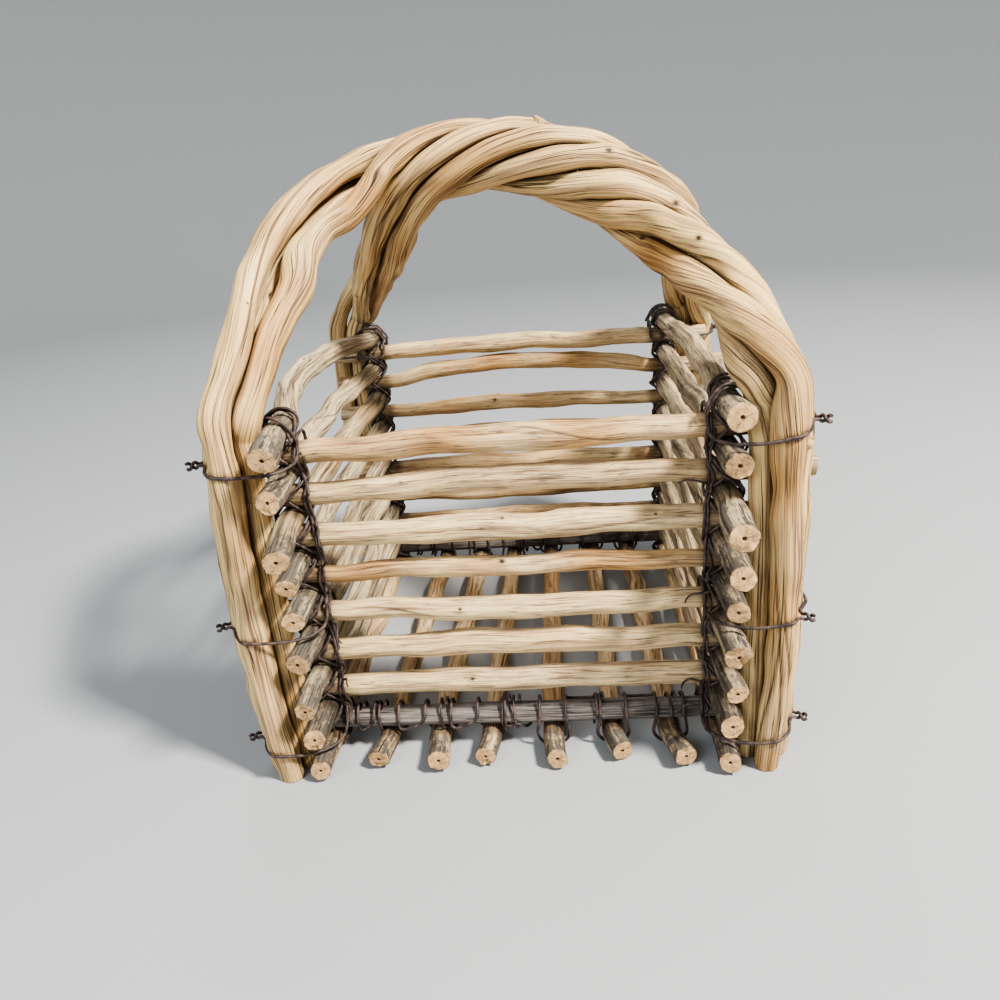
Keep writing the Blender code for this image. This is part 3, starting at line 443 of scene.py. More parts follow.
@dataclass
class Bar:
    """One turned, carved and bent bar.

    Attributes:
        name: name of the finished piece.
        line: the line that it is bent along.
        character: how rough it is.
        knots: its knots and swellings.
        splits: chips at its first end.
        sides: faces round it.
        step: distance between its rows.
        knot_rows: rows across a knot.
        swell: factor on its half widths.
        twist: places along it and the degrees that its grain has turned there.
        still: stretches (from, to) where it lies on other sticks, doesn't wander, and is darkened with
            painted shade and rust stain.
        tint: how much darker, redder and greyer it is than its kind, from 0 to 1.
    """

    name: str
    line: Line
    character: Character = field(default_factory=Character)
    knots: tuple[Knot, ...] = ()
    splits: tuple[Split, ...] = ()
    sides: int = 28
    step: float = 2.0 * MM
    knot_rows: int = 17
    swell: float = 1.0
    twist: tuple[tuple[float, float], ...] = ((0.0, 0.0), (1.0, 0.0))
    still: tuple[tuple[float, float], ...] = ()
    tint: Colour = (0.0, 0.0, 0.0)

    def profile(self) -> list[tuple[float, float]]:
        """Half of the blank's outline, as (share of the radius, place along)."""
        cut, rim = self.character, self.character.rim
        deep = 1.5 * MM if cut.pith > 0.0 else 0.1 * MM
        hole = max(cut.pith, 0.03)
        end = [(0.0, deep), (hole * 0.7, deep), (hole, deep * 0.3), (hole + 0.05, 0.0)]
        end += [(share, 0.0) for share in (0.3, 0.45, 0.6, 0.74, 0.86)]
        end += [(0.94, rim * 0.08), (0.985, rim * 0.4), (1.0, rim)]
        length = self.line.length
        close = [(1.0, rim + place * MM) for place in (0.5, 1.1, 1.8, 2.7, 3.9)]
        first, last = 5.2 * MM, length - 5.2 * MM
        rows = np.linspace(first, last, max(2, int((last - first) / self.step)))
        for knot in self.knots:
            middle, reach = knot.share * length, 1.3 * knot.size
            rows = rows[np.abs(rows - middle) > reach]
            rows = np.append(rows, np.linspace(middle - reach, middle + reach, self.knot_rows))
        rows = np.unique(rows[(rows >= first) & (rows <= last)])
        rows = rows[np.append(True, np.diff(rows) > 0.1 * MM)]
        body = [(1.0, float(place)) for place in rows]
        ends = end + close
        return ends + body + [(share, length - place) for share, place in reversed(ends)]

    def blank(self) -> bpy.types.Mesh:
        """Turn the straight blank on the lathe: a closed body round +Z, one long radius."""
        bm = bmesh.new()
        verts = [bm.verts.new((share, 0.0, place)) for share, place in self.profile()]
        edges = [bm.edges.new(pair) for pair in zip(verts, verts[1:])]
        bmesh.ops.spin(bm, geom=verts + edges, cent=(0, 0, 0), axis=(0, 0, 1),
                       angle=2.0 * math.pi, steps=self.sides, use_merge=True,
                       use_duplicate=False)
        bmesh.ops.remove_doubles(bm, verts=bm.verts, dist=1e-6)
        bmesh.ops.recalc_face_normals(bm, faces=bm.faces)
        mesh = bpy.data.meshes.new(self.name)
        bm.to_mesh(mesh)
        bm.free()
        return mesh

    def build(self, press=None) -> bpy.types.Object:
        """Carve the blank, bend it and write its attributes.

        Args:
            press: changes the bent points and returns (points, how much painted shade each gets
            for lying in a crevice), given (points, places along the bar).

        Returns:
            The piece, without a finish.
        """
        mesh = self.blank()
        flat = np.empty(len(mesh.vertices) * 3)
        mesh.vertices.foreach_get("co", flat)
        x, y, place = flat.reshape(-1, 3).T
        share, angle = np.hypot(x, y), np.arctan2(y, x)
        line, cut = self.line, self.character
        waves = Waves(self.name)
        radius = line.radius * self.swell
        turned = np.radians(np.interp(place / line.length, *zip(*self.twist)))

        free, shade_and_rust = np.ones_like(place), np.zeros_like(place)
        # Where the bar lies on other sticks it gets painted shade with some rust stain, strongest at the
        # crossing.
        for low, high in self.still:
            off = np.maximum(np.maximum(low - place, place - high), 0.0)
            free *= smooth_step(off / (14.0 * MM))
            shade_and_rust = np.maximum(shade_and_rust, 0.75 * np.exp(-(off / (3.5 * MM)) ** 2))
        girth = 1.0 + cut.girth * waves.along(place, 42.0 * MM) * (0.3 + 0.7 * free)
        girth += cut.oval * free * np.cos(
            2.0 * (angle + turned) + 3.0 * waves.along(place, 150.0 * MM))
        out = cut.ridge * waves.round(angle + turned, place, cut.ridge_counts, cut.ridge_length)
        out += 0.35 * cut.ridge * waves.round(angle + turned, place, (13, 17, 21),
                                              cut.ridge_length / 3.0)
        for _ in range(cut.grooves):
            middle = waves.random.uniform(0.0, line.length)
            half = waves.random.uniform(0.4, 1.0) * cut.groove_length
            around = waves.random.uniform(0.0, 2.0 * math.pi)
            around = around + 6.0 * MM / radius * waves.along(place, 3.0 * cut.groove_length)
            off = np.angle(np.exp(1j * (angle + turned - around))) * radius / cut.groove_width
            dip = np.exp(-off ** 2) * smooth_step(1.4 * (1.0 - np.abs(place - middle) / half))
            out -= cut.groove_depth * dip
            # Painted shade inside the drying split.
            shade_and_rust = np.maximum(shade_and_rust, dip)
        knotty, swirl = np.zeros_like(place), np.zeros_like(place)
        for knot in self.knots:
            off_place = (place - knot.share * line.length) / knot.size
            off_angle = np.angle(np.exp(1j * (angle - math.radians(knot.angle))))
            off_round = off_angle * radius / (knot.size * 0.7)
            off = off_place ** 2 + off_round ** 2
            eye = np.exp(-off * 7.0)
            out += knot.rise * np.exp(-off * 0.9) - knot.hole * eye
            knotty = np.maximum(knotty, knot.dark * np.exp(-off * 4.5))
            swirl -= 0.55 * off_angle * np.exp(-off * 1.1)

        ragged = cut.ragged * waves.round(angle, place, (2, 3, 5, 8, 12), 1.0)
        lean = waves.random.uniform(0.0, 2.0 * math.pi, 2)
        near = [smooth_step(1.0 - place / (5.0 * MM)),
                smooth_step(1.0 - (line.length - place) / (5.0 * MM))]
        slide = np.zeros_like(place)
        for end, sign in ((0, 1.0), (1, -1.0)):
            slope = cut.tilt * radius * share * np.cos(angle - lean[end])
            rough = ragged * smooth_step((share - 0.55) / 0.45)
            rough += 0.25 * cut.ragged * waves.round(angle, place, (3, 7), 1.0) * share
            slide += sign * near[end] * (slope + rough)
        for split in self.splits:
            off_angle = np.angle(np.exp(1j * (angle - math.radians(split.angle))))
            open_ = smooth_step(1.6 - np.abs(off_angle) / math.radians(split.width))
            open_ *= smooth_step((share - split.core) / 0.1)
            slide += split.depth * open_ * smooth_step(1.0 - place / (split.depth * 2.4))

        wide = line.at(place, line.wide) * self.swell * girth + out
        high = line.at(place, line.high) * self.swell * girth + out
        moved = place + slide
        sway = cut.sway * free
        middle = line.point(moved)
        across, beside = line.at(place, line.across), line.at(place, line.beside)
        middle = middle + across * (sway * waves.along(place, cut.sway_length))[:, None]
        middle = middle + beside * (sway * waves.along(place, cut.sway_length))[:, None]
        points = (middle + across * (share * wide * np.cos(angle))[:, None]
                  + beside * (share * high * np.sin(angle))[:, None])
        if press is not None:
            points, shaded = press(points, place)
            shade_and_rust = np.maximum(shade_and_rust, shaded)

        grain_angle = angle + turned + swirl
        start = waves.random.uniform(0.0, 9.0)
        grain = np.stack([share * radius * np.cos(grain_angle),
                          share * radius * np.sin(grain_angle), place + start], axis=1)
        sawn = smooth_step((0.985 - share) / 0.03)
        end = np.minimum(place, line.length - place)
        mesh.vertices.foreach_set("co", points.astype(np.float32).ravel())
        write(mesh, GRAIN, "FLOAT_VECTOR", "vector", grain)
        # The third mark is painted shade in crevices, partly rust stain at ties and crossings.
        write(mesh, MARKS_AND_SHADE, "FLOAT_VECTOR", "vector", np.stack([sawn, knotty, shade_and_rust], axis=1))
        write(mesh, AGE, "FLOAT_VECTOR", "vector",
              np.stack([end, place / line.length, np.full_like(place, radius)], axis=1))
        drift = np.maximum(1.0 + 0.9 * waves.along(place, 90.0 * MM), 0.0)
        write(mesh, TINT, "FLOAT_VECTOR", "vector", drift[:, None] * np.array([self.tint]))
        mesh.update()
        mesh.shade_smooth()
        mesh.set_sharp_from_angle(angle=math.radians(55.0))
        piece = bpy.data.objects.new(self.name, mesh)
        bpy.context.scene.collection.objects.link(piece)
        return piece


def write(mesh: bpy.types.Mesh, name: str, kind: str, key: str, values: np.ndarray) -> None:
    """Write an attribute on the vertices of a mesh."""
    attribute = mesh.attributes.new(name, kind, "POINT")
    attribute.data.foreach_set(key, values.astype(np.float32).ravel())


# Finishes.

class Tree:
    """Short calls to add and link shader nodes."""

    def __init__(self, tree: bpy.types.NodeTree) -> None:
        """Work on a node tree."""
        self.tree = tree

    def feed(self, socket: bpy.types.NodeSocket, value) -> None:
        """Link or set one input."""
        if isinstance(value, bpy.types.NodeSocket):
            self.tree.links.new(value, socket)
        else:
            socket.default_value = value

    def put(self, kind: str, options: dict | None = None, **inputs) -> bpy.types.Node:
        """Add a node.

        Args:
            kind: the node's type.
            options: its own settings.
            inputs: values or sockets by input name, with _ for a space.

        Returns:
            The node.
        """
        node = self.tree.nodes.new(kind)
        for name, value in (options or {}).items():
            setattr(node, name, value)
        for name, value in inputs.items():
            self.feed(node.inputs[name.replace("_", " ")], value)
        return node

    def math(self, operation: str, *values) -> bpy.types.NodeSocket:
        """The result of a math node."""
        node = self.put("ShaderNodeMath", {"operation": operation})
        for socket, value in zip(node.inputs, values):
            self.feed(socket, value)
        return node.outputs[0]

    def vector(self, operation: str, *values) -> bpy.types.NodeSocket:
        """The vector, or for LENGTH the number, of a vector math node."""
        node = self.put("ShaderNodeVectorMath", {"operation": operation})
        for socket, value in zip(node.inputs, values):
            self.feed(socket, value)
        return node.outputs["Value" if operation in ("LENGTH", "DOT_PRODUCT") else "Vector"]

    def mix(self, share, first, second, blend: str = "MIX") -> bpy.types.NodeSocket:
        """Two colours mixed by a share."""
        node = self.put("ShaderNodeMix", {"data_type": "RGBA", "blend_type": blend})
        self.feed(node.inputs[0], share)
        self.feed(node.inputs[6], first)
        self.feed(node.inputs[7], second)
        return node.outputs[2]

    def span(self, value, low: float, high: float, to_low: float = 0.0,
             to_high: float = 1.0) -> bpy.types.NodeSocket:
        """A value's range turned smoothly into another, and kept inside it."""
        node = self.put("ShaderNodeMapRange", {"interpolation_type": "SMOOTHSTEP"},
                        Value=value, From_Min=low, From_Max=high, To_Min=to_low, To_Max=to_high)
        return node.outputs["Result"]

    def noise(self, vector, scale: float, detail: float, rough: float = 0.55,
              distortion: float = 0.0) -> bpy.types.NodeSocket:
        """A noise pattern's value."""
        return self.put("ShaderNodeTexNoise", None, Vector=vector, Scale=scale, Detail=detail,
                        Roughness=rough, Distortion=distortion).outputs["Fac"]

    def stretched(self, vector, across: float, along: float) -> bpy.types.NodeSocket:
        """Grain places counted in patches of a width and a length."""
        return self.vector("MULTIPLY", vector, (1.0 / across, 1.0 / across, 1.0 / along))


def shader_group(name: str, inputs: dict, outputs: dict) -> tuple[Tree, bpy.types.Node, bpy.types.Node]:
    """Start a shader node group.

    Args:
        name: name of the group.
        inputs: socket kinds and defaults by name.
        outputs: socket kinds by name.

    Returns:
        The tree, its input node and its output node.
    """
    group = bpy.data.node_groups.new(name, "ShaderNodeTree")
    for label, (kind, value) in inputs.items():
        socket = group.interface.new_socket(label, in_out="INPUT", socket_type=kind)
        if value is not None:
            socket.default_value = value
    for label, kind in outputs.items():
        group.interface.new_socket(label, in_out="OUTPUT", socket_type=kind)
    tree = Tree(group)
    return tree, tree.put("NodeGroupInput"), tree.put("NodeGroupOutput")


NUMBER, COLOUR, VECTOR = "NodeSocketFloat", "NodeSocketColor", "NodeSocketVector"


def build_long_grain() -> bpy.types.NodeTree:
    """The pattern of wood that has dried along its grain: streaks, bands, cracks, relief."""
    tree, given, made = shader_group(
        "Long grain",
        {"Grain": (VECTOR, None), "Width": (NUMBER, 1.0), "Length": (NUMBER, 1.0),
         "Cracks": (NUMBER, 0.5)},
        {"Streak": NUMBER, "Band": NUMBER, "Crack": NUMBER, "Fleck": NUMBER, "Fine": NUMBER,
         "Relief": NUMBER},
    )
    wide = tree.put("ShaderNodeCombineXYZ", None, X=given.outputs["Width"],
                    Y=given.outputs["Width"], Z=given.outputs["Length"]).outputs[0]
    grain = tree.vector("DIVIDE", given.outputs["Grain"], wide)
    streak = tree.noise(tree.stretched(grain, 0.95 * MM, 60.0 * MM), 1.0, 5.0, 0.66)
    fine = tree.noise(tree.stretched(grain, 0.42 * MM, 14.0 * MM), 1.0, 3.0, 0.6)
    band = tree.noise(tree.stretched(grain, 3.6 * MM, 120.0 * MM), 1.0, 3.0, 0.55, 0.3)
    line = tree.noise(tree.stretched(grain, 1.3 * MM, 85.0 * MM), 1.0, 2.0, 0.45)
    there = tree.span(tree.noise(tree.stretched(grain, 4.0 * MM, 36.0 * MM), 1.0, 2.0),
                      0.42, 0.56)
    thin = tree.span(tree.math("ABSOLUTE", tree.math("SUBTRACT", line, 0.5)), 0.004, 0.030,
                     1.0, 0.0)
    crack = tree.math("MULTIPLY", tree.math("MULTIPLY", thin, there), given.outputs["Cracks"])
    fleck = tree.noise(tree.vector("MULTIPLY", grain, (300.0, 300.0, 150.0)), 1.0, 4.0, 0.7)
    relief = tree.math("ADD", tree.math("MULTIPLY", streak, 0.55),
                       tree.math("MULTIPLY", fine, 0.30))
    relief = tree.math("SUBTRACT", relief, tree.math("MULTIPLY", crack, 0.9))
    for label, value in (("Streak", streak), ("Band", band), ("Crack", crack),
                         ("Fleck", fleck), ("Fine", fine), ("Relief", relief)):
        tree.feed(made.inputs[label], value)
    return tree.tree


def build_sawn_face() -> bpy.types.NodeTree:
    """A sawn end: growth rings, drying cracks towards the pith, torn fibres at the rim."""
    tree, given, made = shader_group(
        "Sawn face",
        {"Grain": (VECTOR, None), "Radius": (NUMBER, 6.4 * MM),
         "Light": (COLOUR, (1, 1, 1, 1)), "Dark": (COLOUR, (0, 0, 0, 1))},
        {"Colour": COLOUR, "Relief": NUMBER},
    )
    flat = tree.vector("MULTIPLY", given.outputs["Grain"], (1.0, 1.0, 0.02))
    across = tree.vector("MULTIPLY", given.outputs["Grain"], (1.0, 1.0, 0.0))
    share = tree.math("DIVIDE", tree.vector("LENGTH", across), given.outputs["Radius"])
    uneven = tree.noise(flat, 350.0, 3.0)
    rings = tree.math("SINE", tree.math("MULTIPLY", tree.math("ADD", share, tree.math(
        "MULTIPLY", uneven, 0.25)), 30.0))
    spokes = tree.noise(tree.vector("NORMALIZE", across), 5.0, 2.0, 0.4)
    drift = tree.math("ADD", spokes, tree.math("MULTIPLY", uneven, 0.10))
    crack = tree.span(tree.math("ABSOLUTE", tree.math("SUBTRACT", drift, 0.53)), 0.0, 0.022,
                      1.0, 0.0)
    crack = tree.math("MULTIPLY", crack, tree.span(share, 0.95, 0.45))
    crack = tree.math("MULTIPLY", crack, tree.span(tree.noise(
        tree.vector("NORMALIZE", across), 1.3, 1.0), 0.50, 0.60))
    pith = tree.span(share, 0.20, 0.09)
    rim = tree.span(share, 0.84, 1.0)
    fibre = tree.noise(flat, 1400.0, 2.0, 0.7)
    dark = tree.math("MAXIMUM", tree.math("MULTIPLY", crack, 0.75), pith)
    tone = tree.math("ADD", tree.math("MULTIPLY", rings, 0.07), tree.math(
        "MULTIPLY", tree.math("SUBTRACT", fibre, 0.5), 1.3))
    tone = tree.math("ADD", tone, tree.span(uneven, 0.40, 0.66, 0.0, 0.48))
    tone = tree.math("ADD", tone, tree.math("MULTIPLY", rim, 0.42))
    share_dark = tree.math("MINIMUM", tree.math("MAXIMUM", tree.math("ADD", dark, tone), 0.0), 1.0)
    colour = tree.mix(share_dark, given.outputs["Light"], given.outputs["Dark"])
    relief = tree.math("SUBTRACT", tree.math("ADD", tree.math("MULTIPLY", fibre, 0.5),
                                             tree.math("MULTIPLY", uneven, 0.5)), dark)
    tree.feed(made.inputs["Colour"], colour)
    tree.feed(made.inputs["Relief"], relief)
    return tree.tree


def build_weather() -> bpy.types.NodeTree:
    """Colour of barkless wood that has stood outside: streaked and greyed, with painted shade and some
    rust stain deep in its crevices.
    """
    colours = ("Light", "Middle", "Dark", "Grey", "Stain")
    numbers = {"Streak": 0.5, "Band": 0.5, "Crack": 0.0, "Fleck": 0.5, "Fine": 0.5,
               "Greyed": 0.3, "Knot": 0.0, "Crevice": 0.0, "Contrast": 1.0, "Darker": 0.0,
               "Redder": 0.0}
    tree, given, made = shader_group(
        "Weather",
        {**{label: (COLOUR, (1, 1, 1, 1)) for label in colours},
         **{label: (NUMBER, value) for label, value in numbers.items()}},
        {"Colour": COLOUR, "Roughness": NUMBER},
    )
    out = given.outputs
    tone = tree.math("ADD", tree.math("MULTIPLY", tree.math("SUBTRACT", out["Streak"], 0.5), 2.4),
                     tree.math("MULTIPLY", tree.math("SUBTRACT", out["Band"], 0.5), 2.4))
    tone = tree.math("ADD", tree.math("MULTIPLY", tone, out["Contrast"]), 0.5)
    colour = tree.mix(tree.span(tone, 0.30, 0.78), out["Light"], out["Middle"])
    colour = tree.mix(tree.span(tone, 0.66, 1.12), colour, out["Dark"])
    colour = tree.mix(tree.span(out["Fine"], 0.54, 0.72, 0.0, 0.60), colour, out["Dark"])
    colour = tree.mix(out["Redder"], colour, tree.mix(1.0, colour, (0.80, 0.59, 0.36, 1),
                                                      "MULTIPLY"))
    grey = tree.math("MULTIPLY", out["Greyed"], tree.span(tree.math(
        "ADD", out["Fleck"], tree.math("SUBTRACT", out["Band"], 0.5)), 0.28, 0.66, 0.35, 1.0))
    colour = tree.mix(grey, colour, tree.mix(tree.span(out["Streak"], 0.40, 0.64), out["Grey"],
                                             tree.mix(0.62, out["Grey"], (0.012, 0.010, 0.009, 1))))
    # Painted shade deep between pieces and in splits, partly rust stain near wire and at crossings.
    shade_and_rust = tree.math("MULTIPLY", out["Crevice"], tree.span(out["Streak"], 0.25, 0.6, 0.6, 1.0))
    colour = tree.mix(shade_and_rust, colour, out["Stain"])
    colour = tree.mix(tree.math("MULTIPLY", out["Crack"], 0.86), colour,
                      (0.020, 0.013, 0.009, 1))
    colour = tree.mix(tree.math("MINIMUM", tree.math("MULTIPLY", out["Knot"], 1.25), 1.0), colour,
                      (0.035, 0.017, 0.009, 1))
    colour = tree.mix(out["Darker"], colour, tree.mix(1.0, colour, (0.30, 0.25, 0.22, 1),
                                                      "MULTIPLY"))
    rough = tree.math("ADD", 0.50, tree.math("MULTIPLY", grey, 0.28))
    rough = tree.math("ADD", rough, tree.math("MULTIPLY", out["Fleck"], 0.14))
    tree.feed(made.inputs["Colour"], colour)
    tree.feed(made.inputs["Roughness"], rough)
    return tree.tree


@dataclass(frozen=True)
class WoodFinish:
    """A weathered, barkless or bark-covered wood.

    Attributes:
        slot: the record's material slot.
        light, middle, dark: colours of clean wood, from its palest streaks on.
        grey: colour of what has greyed.
        shade_and_rust_colour: colour of painted shade deep between pieces and in splits, which near wire
            also stands for rust stain.
        face, face_dark: colours of a sawn end and of its cracks.
        greyed: how much of it has greyed, from 0 to 1.
        greyed_end: the same where it sticks out at its first end.
        end_reach: how far from that end the greying goes.
        width: width of its streaks, as a factor.
        length: length of its streaks, as a factor.
        cracks: how many dark cracks it has.
        contrast: how strongly it is streaked.
        relief: height of its bump.
    """

    slot: str
    light: Colour
    middle: Colour
    dark: Colour
    grey: Colour = (0.30, 0.26, 0.21)
    shade_and_rust_colour: Colour = (0.16, 0.07, 0.025)
    face: Colour = (0.66, 0.46, 0.27)
    face_dark: Colour = (0.16, 0.08, 0.035)
    greyed: float = 0.3
    greyed_end: float = 0.3
    end_reach: float = 40.0 * MM
    width: float = 1.0
    length: float = 1.0
    cracks: float = 0.5
    contrast: float = 1.0
    relief: float = 0.35 * MM

    def make(self) -> bpy.types.Material:
        """Build the material.

        Returns:
            A material that reads a bar's grain, its marks with their painted shade, and its age and tint.
        """
        made = bpy.data.materials.new(self.slot)
        made.use_nodes = True
        made.node_tree.nodes.clear()
        tree = Tree(made.node_tree)
        grain = tree.put("ShaderNodeAttribute", {"attribute_name": GRAIN}).outputs["Vector"]
        marks_and_shade = tree.put("ShaderNodeSeparateXYZ", None, Vector=tree.put(
            "ShaderNodeAttribute", {"attribute_name": MARKS_AND_SHADE}).outputs["Vector"]).outputs
        age = tree.put("ShaderNodeSeparateXYZ", None, Vector=tree.put(
            "ShaderNodeAttribute", {"attribute_name": AGE}).outputs["Vector"]).outputs
        lines = tree.put("ShaderNodeGroup", {"node_tree": bpy.data.node_groups["Long grain"]},
                         Grain=grain, Width=self.width, Length=self.length,
                         Cracks=self.cracks).outputs
        tint = tree.put("ShaderNodeSeparateXYZ", None, Vector=tree.put(
            "ShaderNodeAttribute", {"attribute_name": TINT}).outputs["Vector"]).outputs
        greyed = tree.math("ADD", tint["Z"], tree.span(age["X"], 0.0, self.end_reach,
                                                       self.greyed_end, self.greyed))
        skin = tree.put(
            "ShaderNodeGroup", {"node_tree": bpy.data.node_groups["Weather"]},
            Light=(*self.light, 1), Middle=(*self.middle, 1), Dark=(*self.dark, 1),
            Grey=(*self.grey, 1), Stain=(*self.shade_and_rust_colour, 1), Streak=lines["Streak"],
            Band=lines["Band"], Crack=lines["Crack"], Fleck=lines["Fleck"],
            Fine=lines["Fine"], Greyed=greyed, Knot=marks_and_shade["Y"], Crevice=marks_and_shade["Z"],
            Contrast=self.contrast, Darker=tint["X"], Redder=tint["Y"]).outputs
        face = tree.put("ShaderNodeGroup", {"node_tree": bpy.data.node_groups["Sawn face"]},
                        Grain=grain, Radius=age["Z"], Light=(*self.face, 1),
                        Dark=(*self.face_dark, 1)).outputs
        colour = tree.mix(marks_and_shade["X"], skin["Colour"], face["Colour"])
        relief = tree.math("ADD", tree.math("MULTIPLY", lines["Relief"], tree.math(
            "SUBTRACT", 1.0, marks_and_shade["X"])), tree.math("MULTIPLY", face["Relief"], marks_and_shade["X"]))
        bump = tree.put("ShaderNodeBump", None, Strength=1.0, Distance=self.relief,
                        Height=relief).outputs["Normal"]
        rough = tree.math("ADD", skin["Roughness"], tree.math("MULTIPLY", marks_and_shade["X"], 0.2))
        shader = tree.put("ShaderNodeBsdfPrincipled", None, Base_Color=colour, Roughness=rough,
                          Normal=bump)
        shader.inputs["Specular IOR Level"].default_value = 0.32
        tree.put("ShaderNodeOutputMaterial", None, Surface=shader.outputs[0])
        return made


@dataclass(frozen=True)
class WireFinish:
    """Old iron wire, dark with rust.

    Attributes:
        slot: the record's material slot.
        dark, rust, pale: colours of its scale, its rust and its dust.
    """

    slot: str
    dark: Colour = (0.040, 0.030, 0.029)
    rust: Colour = (0.105, 0.062, 0.045)
    pale: Colour = (0.22, 0.185, 0.165)

    def make(self) -> bpy.types.Material:
        """Build the material."""
        made = bpy.data.materials.new(self.slot)
        made.use_nodes = True
        made.node_tree.nodes.clear()
        tree = Tree(made.node_tree)
        grain = tree.put("ShaderNodeAttribute", {"attribute_name": GRAIN}).outputs["Vector"]
        patches = tree.noise(grain, 220.0, 4.0, 0.6)
        pits = tree.noise(grain, 1500.0, 3.0, 0.7)
        colour = tree.mix(tree.span(patches, 0.42, 0.66), (*self.dark, 1), (*self.rust, 1))
        colour = tree.mix(tree.span(pits, 0.56, 0.80, 0.0, 0.7), colour, (*self.pale, 1))
        rough = tree.span(patches, 0.35, 0.7, 0.46, 0.80)
        metal = tree.span(patches, 0.40, 0.62, 0.45, 0.05)
        bump = tree.put("ShaderNodeBump", None, Strength=1.0, Distance=0.10 * MM,
                        Height=pits).outputs["Normal"]
        shader = tree.put("ShaderNodeBsdfPrincipled", None, Base_Color=colour, Roughness=rough,
                          Metallic=metal, Normal=bump)
        tree.put("ShaderNodeOutputMaterial", None, Surface=shader.outputs[0])
        return made


VINE = WoodFinish(
    "vine_wood", light=(0.83, 0.60, 0.265), middle=(0.58, 0.375, 0.18),
    dark=(0.18, 0.088, 0.040), grey=(0.37, 0.30, 0.205), shade_and_rust_colour=(0.035, 0.015, 0.007),
    face=(0.62, 0.43, 0.23), greyed=0.14, greyed_end=0.34, end_reach=90.0 * MM, width=0.7,
    length=1.4, cracks=1.2, contrast=0.96, relief=0.45 * MM)
RAIL = WoodFinish(
    "rail_wood", light=(0.79, 0.59, 0.305), middle=(0.53, 0.345, 0.17),
    dark=(0.17, 0.09, 0.045), grey=(0.42, 0.345, 0.24), shade_and_rust_colour=(0.06, 0.03, 0.016), greyed=0.30,
    greyed_end=0.6, end_reach=60.0 * MM, width=0.8, length=0.5, cracks=0.7, contrast=0.75,
    relief=0.45 * MM)
SIDE = WoodFinish(
    "side_wood", light=(0.67, 0.54, 0.33), middle=(0.42, 0.305, 0.175),
    dark=(0.135, 0.085, 0.048), grey=(0.135, 0.112, 0.085), shade_and_rust_colour=(0.03, 0.02, 0.013),
    face=(0.54, 0.345, 0.165), face_dark=(0.15, 0.075, 0.032), greyed=0.25, greyed_end=1.25,
    end_reach=62.0 * MM, width=1.0, length=0.9, cracks=0.95, contrast=0.80,
    relief=0.6 * MM)
FLOOR = WoodFinish(
    "floor_wood", light=(0.76, 0.56, 0.32), middle=(0.56, 0.365, 0.185),
    dark=(0.16, 0.07, 0.025), grey=(0.115, 0.095, 0.073), shade_and_rust_colour=(0.05, 0.025, 0.012),
    face=(0.54, 0.345, 0.165), face_dark=(0.15, 0.075, 0.032), greyed=0.08, greyed_end=1.3,
    end_reach=50.0 * MM, width=1.1, length=0.7, cracks=0.85, contrast=0.72,
    relief=0.55 * MM)
BASE = WoodFinish(
    "base_wood", light=(0.46, 0.42, 0.375), middle=(0.28, 0.245, 0.215),
    dark=(0.06, 0.045, 0.036), grey=(0.32, 0.29, 0.26), shade_and_rust_colour=(0.03, 0.02, 0.015), greyed=0.6,
    greyed_end=0.7, length=0.6, cracks=0.9, contrast=1.2, relief=0.5 * MM)
WIRE = WireFinish("rusted_wire")


class Workshop:
    """Makes each finish once and hands finished pieces over to the frame."""

    def __init__(self) -> None:
        """Build the shared shader groups."""
        build_long_grain()
        build_sawn_face()
        build_weather()
        self.made: dict[str, bpy.types.Material] = {}

    def dress(self, piece: bpy.types.Object, finish: WoodFinish | WireFinish,
              *nodes: str) -> bpy.types.Object:
        """Give a piece its finish and its place on the basket.

        Args:
            piece: the piece, in place.
            finish: what it is finished in.
            nodes: the CAD nodes that it stands for.

        Returns:
            The piece.
        """
        if finish.slot not in self.made:
            self.made[finish.slot] = finish.make()
        piece.data.materials.append(self.made[finish.slot])
        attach(piece, BODY)
        if nodes:
            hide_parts(*nodes)
        LOG.info("%s: %d faces, in %s", piece.name, len(piece.data.polygons), finish.slot)
        return piece


# Sub-assemblies.

def crossings(line: Line) -> tuple[tuple[float, float], ...]:
    """The two stretches of a stick that lie in its corners."""
    stops = line.stops
    return ((stops[1], stops[2]), (stops[-3], stops[-2]))


